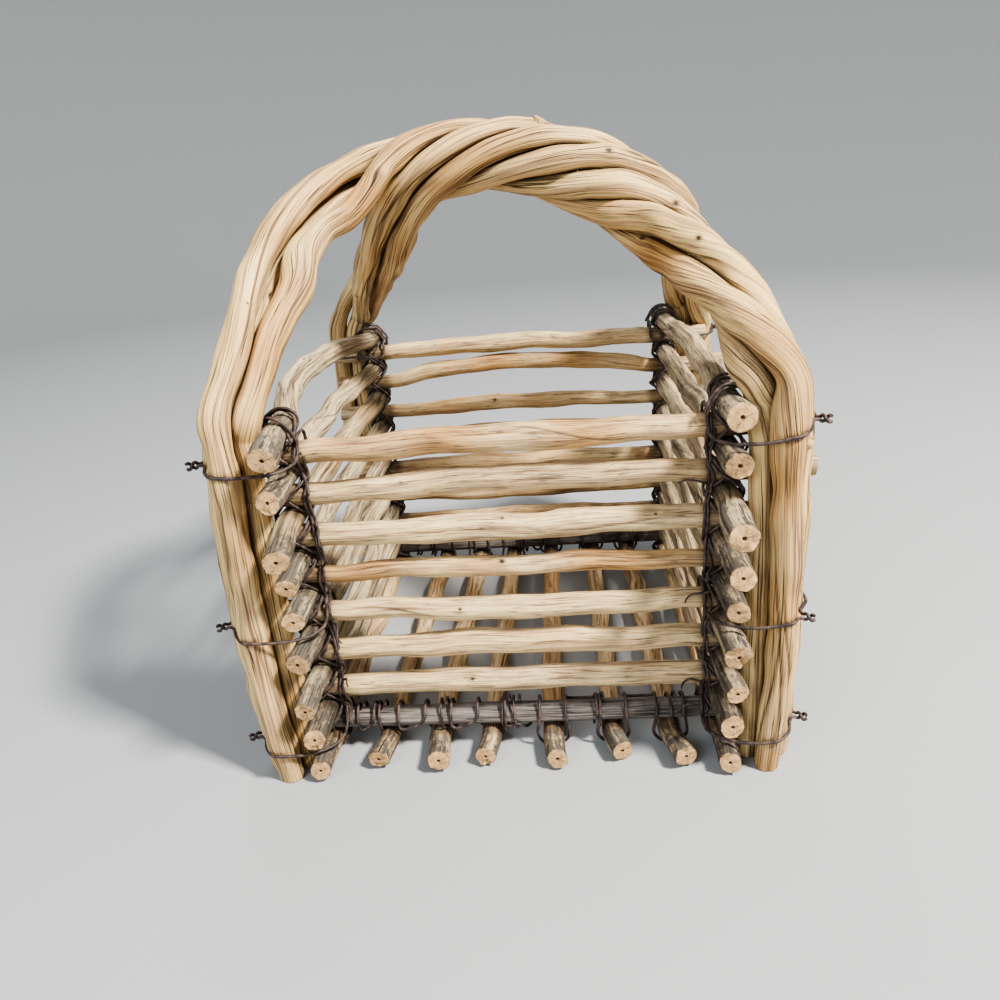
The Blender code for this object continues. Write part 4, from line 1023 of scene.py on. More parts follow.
@dataclass
class Rails:
    """The front and back rails; level 1 is the top rail and level 8 lies on the floor.

    Attributes:
        levels: rails of each wall.
        character: how rough they are.
        tints: how much darker, redder and greyer a rail is, by wall from the top down.
        knots: knots by wall and level.
    """

    levels: int = 8
    character: Character = Character(sway=0.7 * MM, sway_length=85.0 * MM)
    tints: dict[Wall, tuple[Colour, ...]] = field(default_factory=lambda: {
        Wall.FRONT: ((0.06, 0.55, 0.0), (0.06, 0.25, 0.20), (0.0, 0.0, 0.0), (0.14, 0.55, 0.0),
                     (0.0, 0.08, 0.0), (0.0, 0.15, 0.0), (0.03, 0.05, 0.12), (0.0, 0.0, 0.0)),
        Wall.BACK: ((0.0, 0.12, 0.0), (0.10, 0.55, 0.0), (0.0, 0.35, 0.0), (0.15, 0.40, 0.0),
                    (0.12, 0.30, 0.0), (0.20, 0.40, 0.05), (0.25, 0.45, 0.10),
                    (0.30, 0.20, 0.0)),
    })
    knots: dict[tuple[Wall, int], tuple[Knot, ...]] = field(default_factory=lambda: {
        (Wall.FRONT, 1): (Knot(0.147, -10, 2.2 * MM, 0.3 * MM, 1.0, 1.0 * MM),
                          Knot(0.72, -80, 5.0 * MM, 0.9 * MM, 0.15, 0.0)),
        (Wall.FRONT, 2): (Knot(0.567, -85, 6.0 * MM, 1.2 * MM, 0.1, 0.0),
                          Knot(0.30, -40, 1.6 * MM, 0.2 * MM, 0.7, 0.6 * MM)),
        (Wall.FRONT, 3): (Knot(0.496, -62, 2.0 * MM, 0.3 * MM, 1.0, 0.9 * MM),
                          Knot(0.770, -44, 2.2 * MM, 0.3 * MM, 1.0, 1.0 * MM),
                          Knot(0.60, -95, 5.0 * MM, 0.9 * MM, 0.1, 0.0)),
        (Wall.FRONT, 4): (Knot(0.483, -50, 3.6 * MM, 0.9 * MM, 1.0, 1.5 * MM),),
        (Wall.FRONT, 5): (Knot(0.395, -25, 2.4 * MM, 0.5 * MM, 1.0, 1.1 * MM),),
        (Wall.FRONT, 6): (Knot(0.62, -75, 4.0 * MM, 0.8 * MM, 0.2, 0.0),),
        (Wall.FRONT, 7): (Knot(0.409, -32, 2.6 * MM, 0.5 * MM, 1.0, 1.1 * MM),),
        (Wall.BACK, 1): (Knot(0.83, -80, 4.5 * MM, 1.0 * MM, 0.3, 0.0),),
        (Wall.BACK, 3): (Knot(0.434, -26, 3.2 * MM, 0.8 * MM, 1.0, 1.2 * MM),),
        (Wall.BACK, 4): (Knot(0.60, -40, 3.0 * MM, 0.6 * MM, 0.8, 0.8 * MM),),
    })

    def build(self, shop: Workshop) -> None:
        """Turn, bend and finish every rail."""
        for wall in Wall:
            for level in range(1, self.levels + 1):
                node = f"{wall.value}_rail_{level}"
                line = Line.level(node)
                bar = Bar(f"{node}_wood", line, self.character,
                          self.knots.get((wall, level), ()), still=crossings(line), sides=56,
                          tint=self.tints[wall][level - 1])
                shop.dress(bar.build(), BASE if level == self.levels else RAIL, node)


@dataclass
class SideSticks:
    """The sticks of the two side walls, whose bark is left on at the ends and has split.

    Attributes:
        levels: sticks of each wall.
        character: how rough they are.
        tints: how much darker, redder and greyer a stick is, by wall from the top down.
        splits: chips at their front ends.
        knots: knots and bumps by wall and level.
    """

    levels: int = 8
    character: Character = Character(
        sway=0.8 * MM, sway_length=95.0 * MM, girth=0.05, ridge=0.26 * MM, ragged=0.7 * MM,
        tilt=0.18, pith=0.12, grooves=9, groove_depth=0.5 * MM, groove_length=70.0 * MM)
    tints: dict[Side, tuple[Colour, ...]] = field(default_factory=lambda: {
        Side.LEFT: ((0.0, 0.0, 0.05), (0.0, 0.05, 0.0), (0.12, 0.25, 0.0), (0.05, 0.0, 0.15),
                    (0.0, 0.0, 0.10), (0.10, 0.0, 0.20), (0.05, 0.0, 0.10), (0.25, 0.0, 0.25)),
        Side.RIGHT: ((0.10, 0.0, 0.20), (0.20, 0.0, 0.30), (0.20, 0.10, 0.15),
                     (0.15, 0.0, 0.20), (0.15, 0.10, 0.10), (0.20, 0.0, 0.15),
                     (0.20, 0.0, 0.10), (0.25, 0.0, 0.20)),
    })
    splits: dict[tuple[Side, int], tuple[Split, ...]] = field(default_factory=lambda: {
        (Side.RIGHT, 6): (Split(45.0, 26.0, 2.6 * MM, 0.10), Split(-150.0, 14.0, 1.0 * MM, 0.5)),
        (Side.RIGHT, 3): (Split(100.0, 30.0, 0.8 * MM, 0.62),),
        (Side.RIGHT, 8): (Split(70.0, 40.0, 0.9 * MM, 0.60),),
        (Side.LEFT, 2): (Split(110.0, 26.0, 1.0 * MM, 0.55),),
        (Side.LEFT, 8): (Split(95.0, 20.0, 1.2 * MM, 0.45),),
    })
    knots: dict[tuple[Side, int], tuple[Knot, ...]] = field(default_factory=lambda: {
        (Side.LEFT, 1): (Knot(0.52, -100, 7.0 * MM, 1.0 * MM, 0.15, 0.0),
                         Knot(0.36, -20, 6.0 * MM, 0.9 * MM, 0.2, 0.0)),
        (Side.LEFT, 2): (Knot(0.68, -95, 3.0 * MM, 2.6 * MM, 0.4, 0.8 * MM),),
        (Side.RIGHT, 4): (Knot(0.06, -10, 3.0 * MM, 0.7 * MM, 0.6),),
    })

    def build(self, shop: Workshop) -> None:
        """Turn, bend and finish every side stick."""
        for side in Side:
            for level in range(1, self.levels + 1):
                node = f"{side.value}_stick_{level}"
                line = Line.level(node)
                bar = Bar(f"{node}_wood", line, self.character,
                          self.knots.get((side, level), ()), self.splits.get((side, level), ()),
                          still=crossings(line), sides=40, tint=self.tints[side][level - 1])
                shop.dress(bar.build(), SIDE, node)


@dataclass
class FloorSticks:
    """The sticks of the floor.

    Attributes:
        count: how many there are.
        character: how rough they are.
        splits: chips at their front ends, by number from the left.
        tints: how much darker, redder and greyer each is.
    """

    count: int = 8
    character: Character = Character(
        sway=0.9 * MM, sway_length=70.0 * MM, girth=0.06, ridge=0.24 * MM, ragged=0.7 * MM,
        tilt=0.14, pith=0.13, grooves=6, groove_depth=0.45 * MM, groove_length=60.0 * MM)
    splits: dict[int, tuple[Split, ...]] = field(default_factory=lambda: {
        2: (Split(80.0, 34.0, 0.9 * MM, 0.45),),
        4: (Split(75.0, 18.0, 1.6 * MM, 0.30),),
        7: (Split(-120.0, 24.0, 1.0 * MM, 0.45),),
    })

    tints: tuple[Colour, ...] = (
        (0.10, 0.15, 0.25), (0.05, 0.20, 0.20), (0.0, 0.0, 0.0), (0.0, 0.05, 0.0),
        (0.03, 0.35, 0.0), (0.0, 0.0, 0.05), (0.0, 0.05, 0.22), (0.10, 0.10, 0.30))

    def build(self, shop: Workshop) -> None:
        """Turn, bend and finish every floor stick."""
        for number in range(1, self.count + 1):
            node = f"floor_stick_{number}"
            line = Line.level(node)
            bar = Bar(f"{node}_wood", line, self.character, (),
                      self.splits.get(number, ()), still=crossings(line), sides=36,
                      tint=self.tints[number - 1])
            shop.dress(bar.build(), FLOOR, node)


@dataclass
class Handle:
    """Six vines that stand in two rows of three and twist into one arch.

    Attributes:
        strands: names of the three vines of a row.
        character: how rough they are.
        swell: how much fuller they are than their solids, so that they press together.
        seam: gap left where two of them press together.
        shade: distance from a neighbour within which a vine gets painted shade.
        rust: how strongly the ties darken it, with painted contact shadow and rust stain.
        tie_shade_and_rust_reach: how far that shadow and stain reach.
        knots: knots and swellings by wall and strand.
        twists: how the grain of each vine turns from foot to foot, in shares and degrees.
        tints: how much darker, redder and greyer each vine is.
        slims: where the vines of a row are thinner, in shares and factors.
        stubs: cut twigs, as (name, vine, share, angle, lean, radius, height).
    """

    strands: tuple[str, ...] = ("outer", "middle", "inner")
    character: Character = Character(
        sway=0.0, girth=0.06, oval=0.085, ridge=0.26 * MM, ridge_counts=(2, 3, 4, 7),
        ridge_length=220.0 * MM, ragged=0.0, tilt=0.0, pith=0.0, grooves=5,
        groove_depth=0.7 * MM, groove_width=0.65 * MM, groove_length=110.0 * MM)
    swell: float = 1.07
    seam: float = 0.12 * MM
    shade: float = 2.1 * MM
    # Strength of the painted contact shadow and rust stain at the ties.
    rust: float = 0.8
    tie_shade_and_rust_reach: float = 1.3 * MM
    sides: int = 60
    step: float = 1.6 * MM
    knots: dict[tuple[Wall, str], tuple[Knot, ...]] = field(default_factory=lambda: {
        (Wall.FRONT, "outer"): (
            Knot(0.144, 40, 2.0 * MM, 0.3 * MM, 0.9), Knot(0.305, 155, 5.5 * MM, 0.6 * MM, 0.7,
                                                             2.2 * MM),
            Knot(0.623, 120, 5.0 * MM, 1.0 * MM, 0.9, 0.9 * MM), Knot(0.80, 60, 3.0 * MM, 0.8 * MM, 0.5)),
        (Wall.FRONT, "middle"): (
            Knot(0.294, 128, 1.8 * MM, 0.3 * MM, 1.0, 1.2 * MM),
            Knot(0.10, 90, 6.0 * MM, 0.7 * MM, 0.2, 0.0),
            Knot(0.674, 129, 4.6 * MM, 0.6 * MM, 1.0, 1.0 * MM), Knot(0.86, 80, 2.4 * MM, 0.4 * MM, 0.7)),
        (Wall.FRONT, "inner"): (
            Knot(0.325, 70, 11.0 * MM, 2.4 * MM, 0.0, 0.0),
            Knot(0.405, 110, 7.0 * MM, 1.8 * MM, 0.45, 0.3 * MM),
            Knot(0.621, 121, 4.0 * MM, 1.0 * MM, 1.0, 0.9 * MM), Knot(0.18, 95, 2.6 * MM, 0.4 * MM, 0.6)),
        (Wall.BACK, "outer"): (
            Knot(0.547, 28, 4.2 * MM, 0.9 * MM, 1.0, 1.2 * MM),
            Knot(0.30, 200, 5.0 * MM, 0.9 * MM, 0.4)),
        (Wall.BACK, "middle"): (
            Knot(0.46, 40, 6.0 * MM, 1.2 * MM, 0.2, 0.0), Knot(0.72, 250, 4.0 * MM, 0.8 * MM, 0.7)),
        (Wall.BACK, "inner"): (
            Knot(0.53, 10, 5.0 * MM, 1.2 * MM, 0.3), Knot(0.30, 90, 3.0 * MM, 0.6 * MM, 0.7)),
    })
    twists: dict[tuple[Wall, str], tuple[tuple[float, float], ...]] = field(default_factory=lambda: {
        (Wall.FRONT, "outer"): ((0.0, 0), (0.25, 10), (0.5, 120), (0.62, 200), (0.80, 520), (1.0, 560)),
        (Wall.FRONT, "middle"): ((0.0, 0), (0.30, 20), (0.5, 100), (0.66, 260), (0.80, 560), (1.0, 600)),
        (Wall.FRONT, "inner"): ((0.0, 0), (0.30, 20), (0.5, 100), (0.66, 220), (0.80, 420), (1.0, 430)),
        (Wall.BACK, "outer"): ((0.0, 0), (0.35, 40), (0.6, 140), (0.8, 300), (1.0, 320)),
        (Wall.BACK, "middle"): ((0.0, 0), (0.35, 60), (0.6, 160), (0.8, 320), (1.0, 340)),
        (Wall.BACK, "inner"): ((0.0, 0), (0.35, 50), (0.6, 180), (0.8, 300), (1.0, 330)),
    })
    tints: dict[tuple[Wall, str], Colour] = field(default_factory=lambda: {
        (Wall.FRONT, "outer"): (0.03, 0.10, 0.0), (Wall.FRONT, "middle"): (0.08, 0.26, 0.05),
        (Wall.FRONT, "inner"): (0.13, 0.42, 0.0), (Wall.BACK, "outer"): (0.07, 0.20, 0.08),
        (Wall.BACK, "middle"): (0.12, 0.35, 0.0), (Wall.BACK, "inner"): (0.04, 0.15, 0.05),
    })
    slims: dict[Wall, tuple[tuple[float, float], ...]] = field(default_factory=lambda: {
        Wall.FRONT: ((0.0, 1.0), (0.38, 1.0), (0.45, 1.13), (0.76, 1.13), (0.84, 1.0),
                     (1.0, 1.0)),
        Wall.BACK: ((0.0, 1.0), (0.18, 0.97), (0.26, 0.86), (0.34, 0.90), (0.42, 1.13),
                    (0.76, 1.13), (0.84, 1.0), (1.0, 1.0)),
    })
    stubs: tuple[tuple, ...] = (
        ("crown_stub_wood", (Wall.BACK, "inner"), 0.530, 8.0, 0.0, 3.9 * MM, 1.7 * MM),
        ("leg_snag_wood", (Wall.FRONT, "inner"), 0.795, 20.0, 0.6, 2.6 * MM, 3.5 * MM),
        ("elbow_stub_wood", (Wall.FRONT, "outer"), 0.350, 100.0, 0.7, 2.0 * MM, 1.5 * MM),
    )

    def build(self, shop: Workshop) -> None:
        """Turn, bend, press together and finish the six vines."""
        lines = {(wall, strand): Line.bent(f"{wall.value}_vine_{strand}", -np.eye(3)[0])
                 for wall in Wall for strand in self.strands}
        rusty = {node: Line.bent(node, UP) for node in sorted(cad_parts) if "tie" in node}
        for (wall, _), line in lines.items():
            slim = np.interp(line.places / line.length, *zip(*self.slims[wall]))
            line.wide, line.high = line.wide * slim, line.high * slim
        for (wall, strand), line in lines.items():
            node = f"{wall.value}_vine_{strand}"
            near = [self.neighbour(line, other) for key, other in lines.items()
                    if key != (wall, strand)]
            ties = np.concatenate([tie.middles[::2] for name, tie in rusty.items()
                                   if f"tie_{wall.value}" in name])

            def press(points: np.ndarray, places: np.ndarray) -> tuple[np.ndarray, np.ndarray]:
                """Flatten this vine where it meets its neighbours, with painted shade there, and paint
                contact shadow and rust stain at its ties.
                """
                points, shade_and_rust = self.press(line, near, points, places)
                # Painted contact shadow and rust stain round the ties.
                low, high = ties.min(axis=0) - 5.0 * MM, ties.max(axis=0) + 5.0 * MM
                rows = np.flatnonzero(((points > low) & (points < high)).all(axis=1))
                for part in np.array_split(rows, max(1, len(rows) // 4000)):
                    off = np.linalg.norm(points[part][:, None] - ties[None], axis=2)
                    shade_and_rust[part] = np.maximum(shade_and_rust[part], self.rust * np.exp(
                        -(np.maximum(off.min(axis=1) - 0.8 * MM, 0.0) / self.tie_shade_and_rust_reach) ** 2))
                return points, shade_and_rust

            bar = Bar(f"{node}_wood", line, self.character, self.knots.get((wall, strand), ()),
                      sides=self.sides, step=self.step, swell=self.swell,
                      twist=self.twists[wall, strand], tint=self.tints[wall, strand])
            shop.dress(bar.build(press), VINE, node)

        for name, (wall, strand), share, angle, lean, radius, height in self.stubs:
            line = lines[wall, strand]
            place = np.array([share * line.length])
            root = line.point(place)[0]
            across, beside, along = (line.at(place, rows)[0]
                                     for rows in (line.across, line.beside, line.along))
            turn = math.radians(angle)
            way = unit(across * math.cos(turn) + beside * math.sin(turn) + along * lean)
            foot = float(line.at(place, line.wide)[0]) + height - 13.0 * MM
            points = np.array([root + way * (foot + run) for run in
                               (0.0, 4.0 * MM, 8.0 * MM, 11.0 * MM, 13.0 * MM)])
            radii = radius * np.array([1.4, 1.3, 1.12, 1.03, 1.0])
            stub = Bar(name, Line.through(points, radii, along, carried=True),
                       replace(self.character, grooves=3, ridge=0.2 * MM, ragged=0.35 * MM,
                               tilt=0.15, pith=0.16), sides=24, step=0.8 * MM, tint=(0.1, 0.2, 0.1))
            shop.dress(stub.build(), VINE)

    def neighbour(self, line: Line, other: Line) -> tuple[np.ndarray, np.ndarray]:
        """For each sample of a line, the nearest middle of another vine and its radius."""
        apart = np.linalg.norm(line.middles[:, None] - other.middles[None], axis=2)
        nearest = apart.argmin(axis=1)
        return other.middles[nearest], other.wide[nearest] * self.swell

    def press(self, line: Line, near: list[tuple[np.ndarray, np.ndarray]],
              points: np.ndarray, places: np.ndarray) -> tuple[np.ndarray, np.ndarray]:
        """Push points back to half way between neighbouring vines.

        Args:
            line: this vine's line.
            near: each neighbour's nearest middles and radii.
            points: this vine's surface.
            places: places of these points along it.

        Returns:
            The moved points and how close each lies to a neighbour, from 0 to 1, which is painted as
            shade.
        """
        own = line.at(places, line.middles)
        radius = line.at(places, line.wide) * self.swell
        shade_and_rust = np.zeros_like(places)
        for middles, radii in near:
            other = line.at(places, middles)
            other_radius = line.at(places, radii)
            gap = other - own
            apart = np.maximum(np.linalg.norm(gap, axis=1), MM)
            way = gap / apart[:, None]
            limit = (apart ** 2 + radius ** 2 - other_radius ** 2) / (2.0 * apart) - self.seam
            over = ((points - own) * way).sum(axis=1) - limit
            soft = 0.5 * (over + np.sqrt(over ** 2 + (0.35 * MM) ** 2))
            near_enough = smooth_step((radius + other_radius + 4.0 * MM - apart) / (3.0 * MM))
            points = points - way * (soft * near_enough)[:, None]
            # Painted shade where this vine comes near a neighbour.
            clear = np.linalg.norm(points - other, axis=1) - other_radius
            shade_and_rust = np.maximum(shade_and_rust, np.exp(-(np.maximum(clear, 0.0) / self.shade) ** 2))
        return points, shade_and_rust


@dataclass
class Wirework:
    """The lacing of the corners and of the floor, and the ties of the handle.

    Attributes:
        character: how rough the wire is.
        sides: faces round a wire.
        step: distance between its rows.
        swell: how thick the wire is for its solid.
        second: radius of the wires that are laced over the first.
        beside: how far a second wire lies from the first.
        strands: wires that run down each front corner over the ends of the rails.
        loops: places of the extra loops round each base rail, in shares of its length.
        loop_pitch: how far a loop moves along in one turn.
        ends: cut ends that curl out of the front corners, as (side, height, lift, turns).
    """

    character: Character = Character(
        sway=0.12 * MM, sway_length=14.0 * MM, girth=0.04, oval=0.03, ridge=0.02 * MM,
        ridge_counts=(2, 3), ragged=0.08 * MM, tilt=0.3, pith=0.0, rim=0.15 * MM, grooves=0)
    sides: int = 10
    step: float = 1.1 * MM
    swell: float = 0.86
    second: float = 0.75 * MM
    beside: float = 1.9 * MM
    strands: int = 2
    loops: tuple[float, ...] = (0.16, 0.205, 0.335, 0.465, 0.485, 0.655, 0.80)
    loop_pitch: float = 3.4 * MM
    ends: tuple[tuple[Side, float, float, float], ...] = (
        (Side.LEFT, 0.156, 0.2, 0.45), (Side.LEFT, 0.142, -0.5, 0.6),
        (Side.LEFT, 0.118, 0.5, 0.35), (Side.LEFT, 0.083, -0.4, 0.7),
        (Side.LEFT, 0.049, 0.3, 0.5), (Side.LEFT, 0.030, -0.2, 0.6),
        (Side.RIGHT, 0.150, 0.1, 0.5), (Side.RIGHT, 0.095, -0.3, 0.6),
        (Side.RIGHT, 0.038, 0.3, 0.8), (Side.RIGHT, 0.026, -0.1, 0.6))

    def build(self, shop: Workshop) -> None:
        """Draw, bend and finish every wire."""
        lines = {node: Line.bent(node, UP, spacing=0.5 * MM) for node in sorted(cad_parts)
                 if "lacing" in node or "tie" in node}
        for node, line in lines.items():
            bar = Bar(f"{node}_wire", line, self.character, sides=self.sides, step=self.step,
                      swell=self.swell)
            shop.dress(bar.build(), WIRE, node)
        sticks = {node: Line.level(node) for node in sorted(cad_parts)
                  if "rail" in node or "stick" in node}
        wood = list(sticks.values())
        wood += [Line.bent(node, UP) for node in sorted(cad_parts) if "vine" in node]
        for wall in Wall:
            for side in Side:
                self.build_corner(shop, wall, side, lines, wood, sticks)
            base = sticks[f"{wall.value}_rail_8"]
            loose = Keepout([line for line in wood if line is not base]
                            + [lines[f"floor_lacing_{wall.value}"]])
            for i, share in enumerate(self.loops):
                path = loose.clear(self.looped(base, share), self.second + 0.1 * MM, rounds=4)
                self.draw(shop, f"floor_loop_{wall.value}_{i + 1}",
                          Line.through(path, np.full(len(path), self.second), UP, carried=True))

    def looped(self, base: Line, share: float) -> np.ndarray:
        """A path once and a half round a base rail, at a share of its length."""
        share_round = np.linspace(-0.75, 0.80, 48)
        places = share * base.length + self.loop_pitch * share_round
        turn = 2.0 * math.pi * share_round
        out = base.at(places, np.maximum(base.wide, base.high)) + self.second + 0.2 * MM
        out = out + 1.2 * MM * np.maximum(np.abs(share_round) - 0.55, 0.0) / 0.25
        return (base.point(places) + base.at(places, base.across) * (out * np.cos(turn))[:, None]
                + base.at(places, base.beside) * (out * np.sin(turn))[:, None])

    def build_corner(self, shop: Workshop, wall: Wall, side: Side, lines: dict[str, Line],
                     wood: list[Line], sticks: dict[str, Line]) -> None:
        """Lace one corner over with its second wires and their cut ends.

        Args:
            shop: finishes the wires.
            wall: the rails' wall.
            side: the side sticks' wall.
            lines: the lines of the first wires by node.
            wood: the lines of all sticks and vines.
            sticks: the lines of all sticks by node.
        """
        place = f"{wall.value}_{side.value}"
        first = lines[f"corner_lacing_{place}"]
        under = Keepout(wood + [first])
        paths = [(f"lacing_beside_{place}", self.doubled(first, place)),
                 *self.crossed(first, wall, side, place)]
        if wall is Wall.FRONT:
            paths += [(f"lacing_down_{place}_{strand + 1}", self.run_down(sticks, side, strand))
                      for strand in range(self.strands)]
        laced = []
        for name, path in paths:
            path = under.clear(path, self.second + 0.1 * MM)
            line = Line.through(path, np.full(len(path), self.second), UP, carried=True)
            laced.append(line)
            under = Keepout(wood + [first] + laced)
            self.draw(shop, name, line)
        if wall is Wall.FRONT:
            spots = np.concatenate([line.middles for line in laced])
            inward = 1.0 if side is Side.LEFT else -1.0
            corner = np.array([*self.corner(wall, side), 0.0])
            for i, (at, height, lift, turns) in enumerate(self.ends):
                if at is side:
                    aim = corner + np.array([inward * 10.0 * MM, -9.0 * MM, height])
                    start = spots[np.linalg.norm(spots - aim, axis=1).argmin()]
                    self.draw(shop, f"lacing_end_{place}_{i + 1}",
                              self.curled(start, inward, lift, turns))

    def run_down(self, sticks: dict[str, Line], side: Side, strand: int) -> np.ndarray:
        """A path down a front corner, over the ends of the rails and between them."""
        inward = 1.0 if side is Side.LEFT else -1.0
        points = []
        for level in range(1, 9):
            rail = sticks[f"front_rail_{level}"]
            inner = rail.stops[2] if side is Side.LEFT else rail.stops[-3]
            if level == 8:
                inner = float(np.interp(points[-1][0], rail.middles[:, 0], rail.places))
            swing = math.sin(2.2 * level + 2.1 * strand)
            off = 2.2 if side is Side.LEFT else 0.2
            spot = np.array([inner + inward * (off + 2.0 * swing) * MM])
            out = rail.at(spot, rail.wide) + self.second
            over = (rail.point(spot) + rail.at(spot, rail.across) * out[:, None])[0]
            if points:
                between = (points[-1] + over) / 2.0
                points.append(between + np.array([-inward * 1.6 * swing, 4.5, 0.0]) * MM)
            points.append(over)
        return Line.through(np.array(points), np.full(len(points), self.second), UP,
                            carried=True, spacing=1.5 * MM).middles

    def draw(self, shop: Workshop, name: str, line: Line) -> None:
        """Bend and finish one more wire."""
        bar = Bar(name, line, self.character, sides=8, step=1.2 * MM)
        shop.dress(bar.build(), WIRE)

    def corner(self, wall: Wall, side: Side) -> tuple[float, float]:
        """Where a corner stands on the ground."""
        low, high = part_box(f"floor_stick_{1 if side is Side.LEFT else 8}")
        near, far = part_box(f"{wall.value}_rail_8")
        return (low.x + high.x) / 2.0, (near.y + far.y) / 2.0

    def doubled(self, first: Line, name: str) -> np.ndarray:
        """A path that wanders round the first wire of a corner."""
        waves = Waves(name)
        places = np.arange(0.0, first.length, 1.5 * MM)
        turn = 2.4 * waves.along(places, 70.0 * MM) + waves.random.uniform(0.0, 6.0)
        off = self.beside * (1.0 + 0.35 * waves.along(places, 30.0 * MM))
        way = (first.at(places, first.across) * np.cos(turn)[:, None]
               + first.at(places, first.beside) * np.sin(turn)[:, None])
        return first.point(places) + way * off[:, None]

    def crossed(self, first: Line, wall: Wall, side: Side,
                place: str) -> list[tuple[str, np.ndarray]]:
        """Paths that cross the first wire: its own shape, turned over the corner's diagonal.

        The sticks of the two walls lie half a layer apart, so the turned shape also moves
        down by half a layer, and passes the same gaps between them.
        """
        x, y = self.corner(wall, side)
        inward = 1.0 if side is Side.LEFT else -1.0
        past = -1.0 if wall is Wall.FRONT else 1.0
        low, high = (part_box(f"{wall.value}_rail_{level}") for level in (8, 1))
        half_layer = (high[0].z - low[0].z) / 14.0
        path = first.point(np.arange(0.0, first.length, 1.5 * MM))
        beside, beyond = (path[:, 0] - x) * inward, (path[:, 1] - y) * past
        turned = np.stack([x + inward * beyond, y + past * beside, path[:, 2] - half_layer],
                          axis=1)
        top = int(turned[:, 2].argmax())
        found = []
        for name, part in (("over", turned[:top]), ("under", turned[:top:-1])):
            kept = part[(part[:, 2] > 14.0 * MM)]
            found.append((f"lacing_{name}_{place}", kept.copy()))
        return found

    def curled(self, start: np.ndarray, inward: float, lift: float, turns: float) -> Line:
        """A cut end that springs away from a corner in a curl."""
        way = unit(np.array([0.8 * inward, -0.55, lift]))
        up = unit(UP - way * way[2])
        out = np.cross(way, up)
        share = np.linspace(0.0, 1.0, 14)
        turn = 2.0 * math.pi * turns * share
        reach, wide = 13.0 * MM, 3.4 * MM
        path = (start + way * (reach * share)[:, None]
                + up * (wide * share * np.sin(turn))[:, None]
                + out * (wide * share * (1.0 - np.cos(turn)))[:, None])
        return Line.through(path, np.linspace(self.second, 0.6 * self.second, 14), UP,
                            carried=True)


# The room.

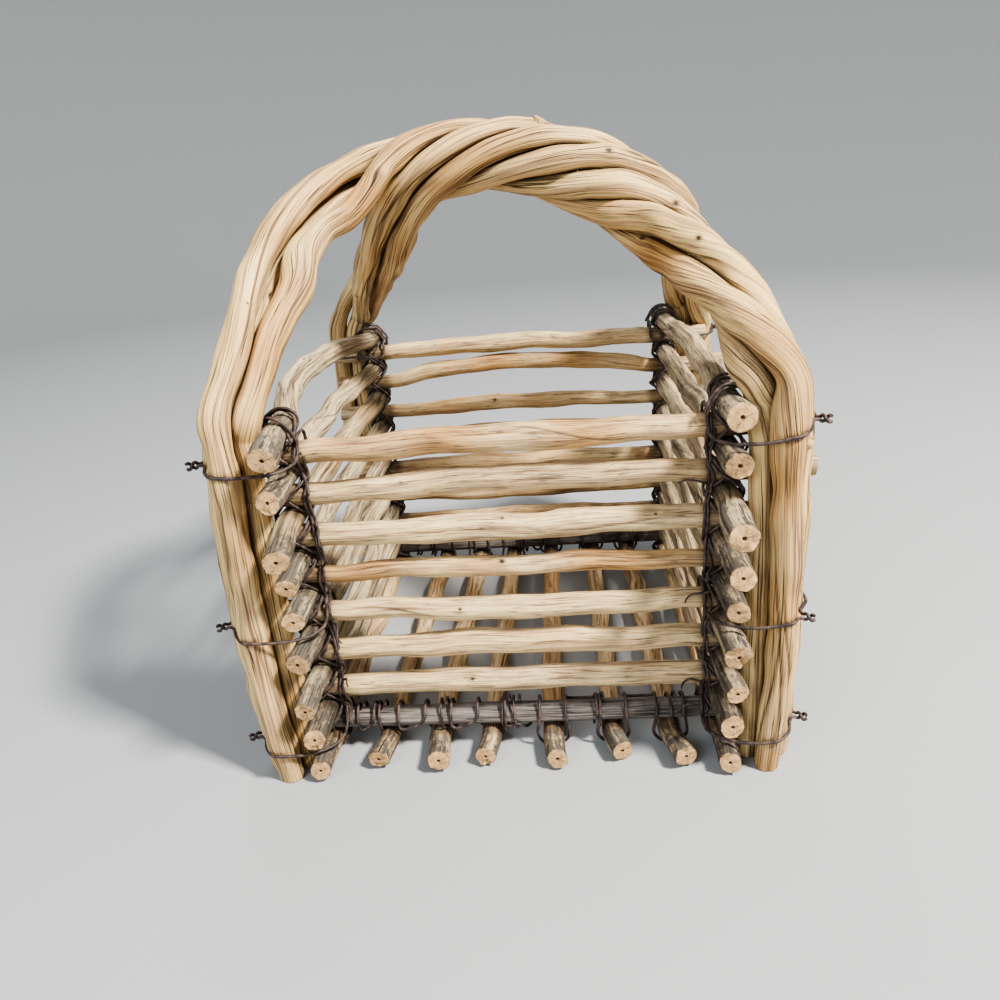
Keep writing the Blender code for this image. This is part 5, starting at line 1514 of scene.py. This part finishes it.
@dataclass
class Studio:
    """A pale floor, soft lamps and the camera.

    Attributes:
        lens: focal length on a sensor of 36 mm.
        stand: the camera's place from the middle between the walls.
        turn: how far the camera looks to the right of +Y, down, and rolls.
        floor_reach: radius of the level floor.
        wall_reach: radius of the wall that the floor rises into.
        wall_height: height of that wall.
        paper: colour of both.
        sky: strength of the light from above the wall.
        lamps: each lamp's name, place, size, power and colour.
    """

    lens: float = 28.8
    stand: tuple[float, float, float] = (0.0297, -0.4778, 0.2971)
    turn: tuple[float, float, float] = (-4.98, 22.29, -4.87)
    floor_reach: float = 1.9
    wall_reach: float = 3.0
    wall_height: float = 1.9
    paper: Colour = (0.34, 0.35, 0.36)
    sky: float = 0.55
    lamps: tuple[tuple[str, Colour, float, float, Colour], ...] = (
        ("key_lamp", (1.10, -0.72, 1.60), 0.26, 118.0, (1.0, 0.96, 0.895)),
        ("fill_lamp", (-0.9, -1.4, 1.0), 1.0, 19.0, (0.90, 0.95, 1.0)),
        ("rim_lamp", (-0.4, 1.5, 2.2), 0.9, 16.0, (1.0, 0.97, 0.93)),
    )

    def middle(self) -> Vector:
        """The middle between the four walls, on the ground."""
        rails = [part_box(f"{wall.value}_rail_8") for wall in Wall]
        sticks = [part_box(f"floor_stick_{number}") for number in (1, 8)]
        y = sum((low.y + high.y) / 2.0 for low, high in rails) / 2.0
        x = sum((low.x + high.x) / 2.0 for low, high in sticks) / 2.0
        return Vector((x, y, 0.0))

    def build_camera(self) -> None:
        """Stand the camera where the photograph was taken from."""
        camera = bpy.data.cameras.new("camera")
        camera.sensor_width = 36.0
        camera.lens = self.lens
        camera.clip_start = 0.01
        stand = bpy.data.objects.new("camera", camera)
        bpy.context.scene.collection.objects.link(stand)
        yaw, pitch, roll = (math.radians(angle) for angle in self.turn)
        ahead = Vector((math.sin(yaw) * math.cos(pitch), math.cos(yaw) * math.cos(pitch),
                        -math.sin(pitch)))
        level = Vector((math.cos(yaw), -math.sin(yaw), 0.0))
        over = level.cross(ahead)
        right = math.cos(roll) * level + math.sin(roll) * over
        up = math.cos(roll) * over - math.sin(roll) * level
        turned = Matrix((right, up, -ahead)).transposed().to_4x4()
        stand.matrix_world = Matrix.Translation(Vector(self.stand) + self.middle()) @ turned
        bpy.context.scene.camera = stand

    def build_lamp(self, name: str, place: Colour, size: float, power: float,
                   colour: Colour) -> None:
        """Hang a soft square lamp that looks at the basket."""
        lamp = bpy.data.lights.new(name, "AREA")
        lamp.shape = "SQUARE"
        lamp.size = size
        lamp.energy = power
        lamp.color = colour
        holder = bpy.data.objects.new(name, lamp)
        holder.location = place
        aim = Vector((0.0, 0.0, 0.12)) - Vector(place)
        holder.rotation_euler = aim.to_track_quat("-Z", "Y").to_euler()
        bpy.context.scene.collection.objects.link(holder)

    def build_floor(self) -> None:
        """Lay the pale floor and let it rise into a round wall."""
        outline = [(0.0, 0.0), (0.5, 0.0), (self.floor_reach, 0.0)]
        bend = self.wall_reach - self.floor_reach
        for angle in range(10, 91, 10):
            turn = math.radians(angle)
            outline.append((self.floor_reach + bend * math.sin(turn),
                            bend * (1.0 - math.cos(turn))))
        outline.append((self.wall_reach, self.wall_height))
        bm = bmesh.new()
        verts = [bm.verts.new((reach, 0.0, height)) for reach, height in outline]
        edges = [bm.edges.new(pair) for pair in zip(verts, verts[1:])]
        bmesh.ops.spin(bm, geom=verts + edges, cent=(0, 0, 0), axis=(0, 0, 1),
                       angle=2.0 * math.pi, steps=72, use_merge=True, use_duplicate=False)
        bmesh.ops.remove_doubles(bm, verts=bm.verts, dist=MM)
        bmesh.ops.recalc_face_normals(bm, faces=bm.faces)
        bm.faces.ensure_lookup_table()
        if min(bm.faces, key=lambda face: face.calc_center_median().length).normal.z < 0.0:
            bmesh.ops.reverse_faces(bm, faces=bm.faces)
        mesh = bpy.data.meshes.new("floor")
        bm.to_mesh(mesh)
        bm.free()
        mesh.shade_smooth()
        paper = bpy.data.materials.new("pale_paper")
        paper.use_nodes = True
        shader = paper.node_tree.nodes["Principled BSDF"]
        shader.inputs["Base Color"].default_value = (*self.paper, 1.0)
        shader.inputs["Roughness"].default_value = 0.9
        mesh.materials.append(paper)
        floor = bpy.data.objects.new("floor", mesh)
        bpy.context.scene.collection.objects.link(floor)

    def build(self) -> None:
        """Set up the whole room."""
        self.build_camera()
        self.build_floor()
        for name, place, size, power, colour in self.lamps:
            self.build_lamp(name, place, size, power, colour)
        world = bpy.data.worlds.new("room")
        world.use_nodes = True
        world.node_tree.nodes["Background"].inputs["Color"].default_value = (0.80, 0.84, 0.90, 1)
        world.node_tree.nodes["Background"].inputs["Strength"].default_value = self.sky
        bpy.context.scene.world = world
        bpy.context.scene.view_settings.look = "AgX - Medium High Contrast"


def main() -> None:
    """Build the basket's looks and its room."""
    logging.basicConfig(level=logging.INFO, format="%(message)s")
    shop = Workshop()
    Rails().build(shop)
    SideSticks().build(shop)
    FloorSticks().build(shop)
    Handle().build(shop)
    Wirework().build(shop)
    Studio().build()


if __name__ == "__main__":
    main()
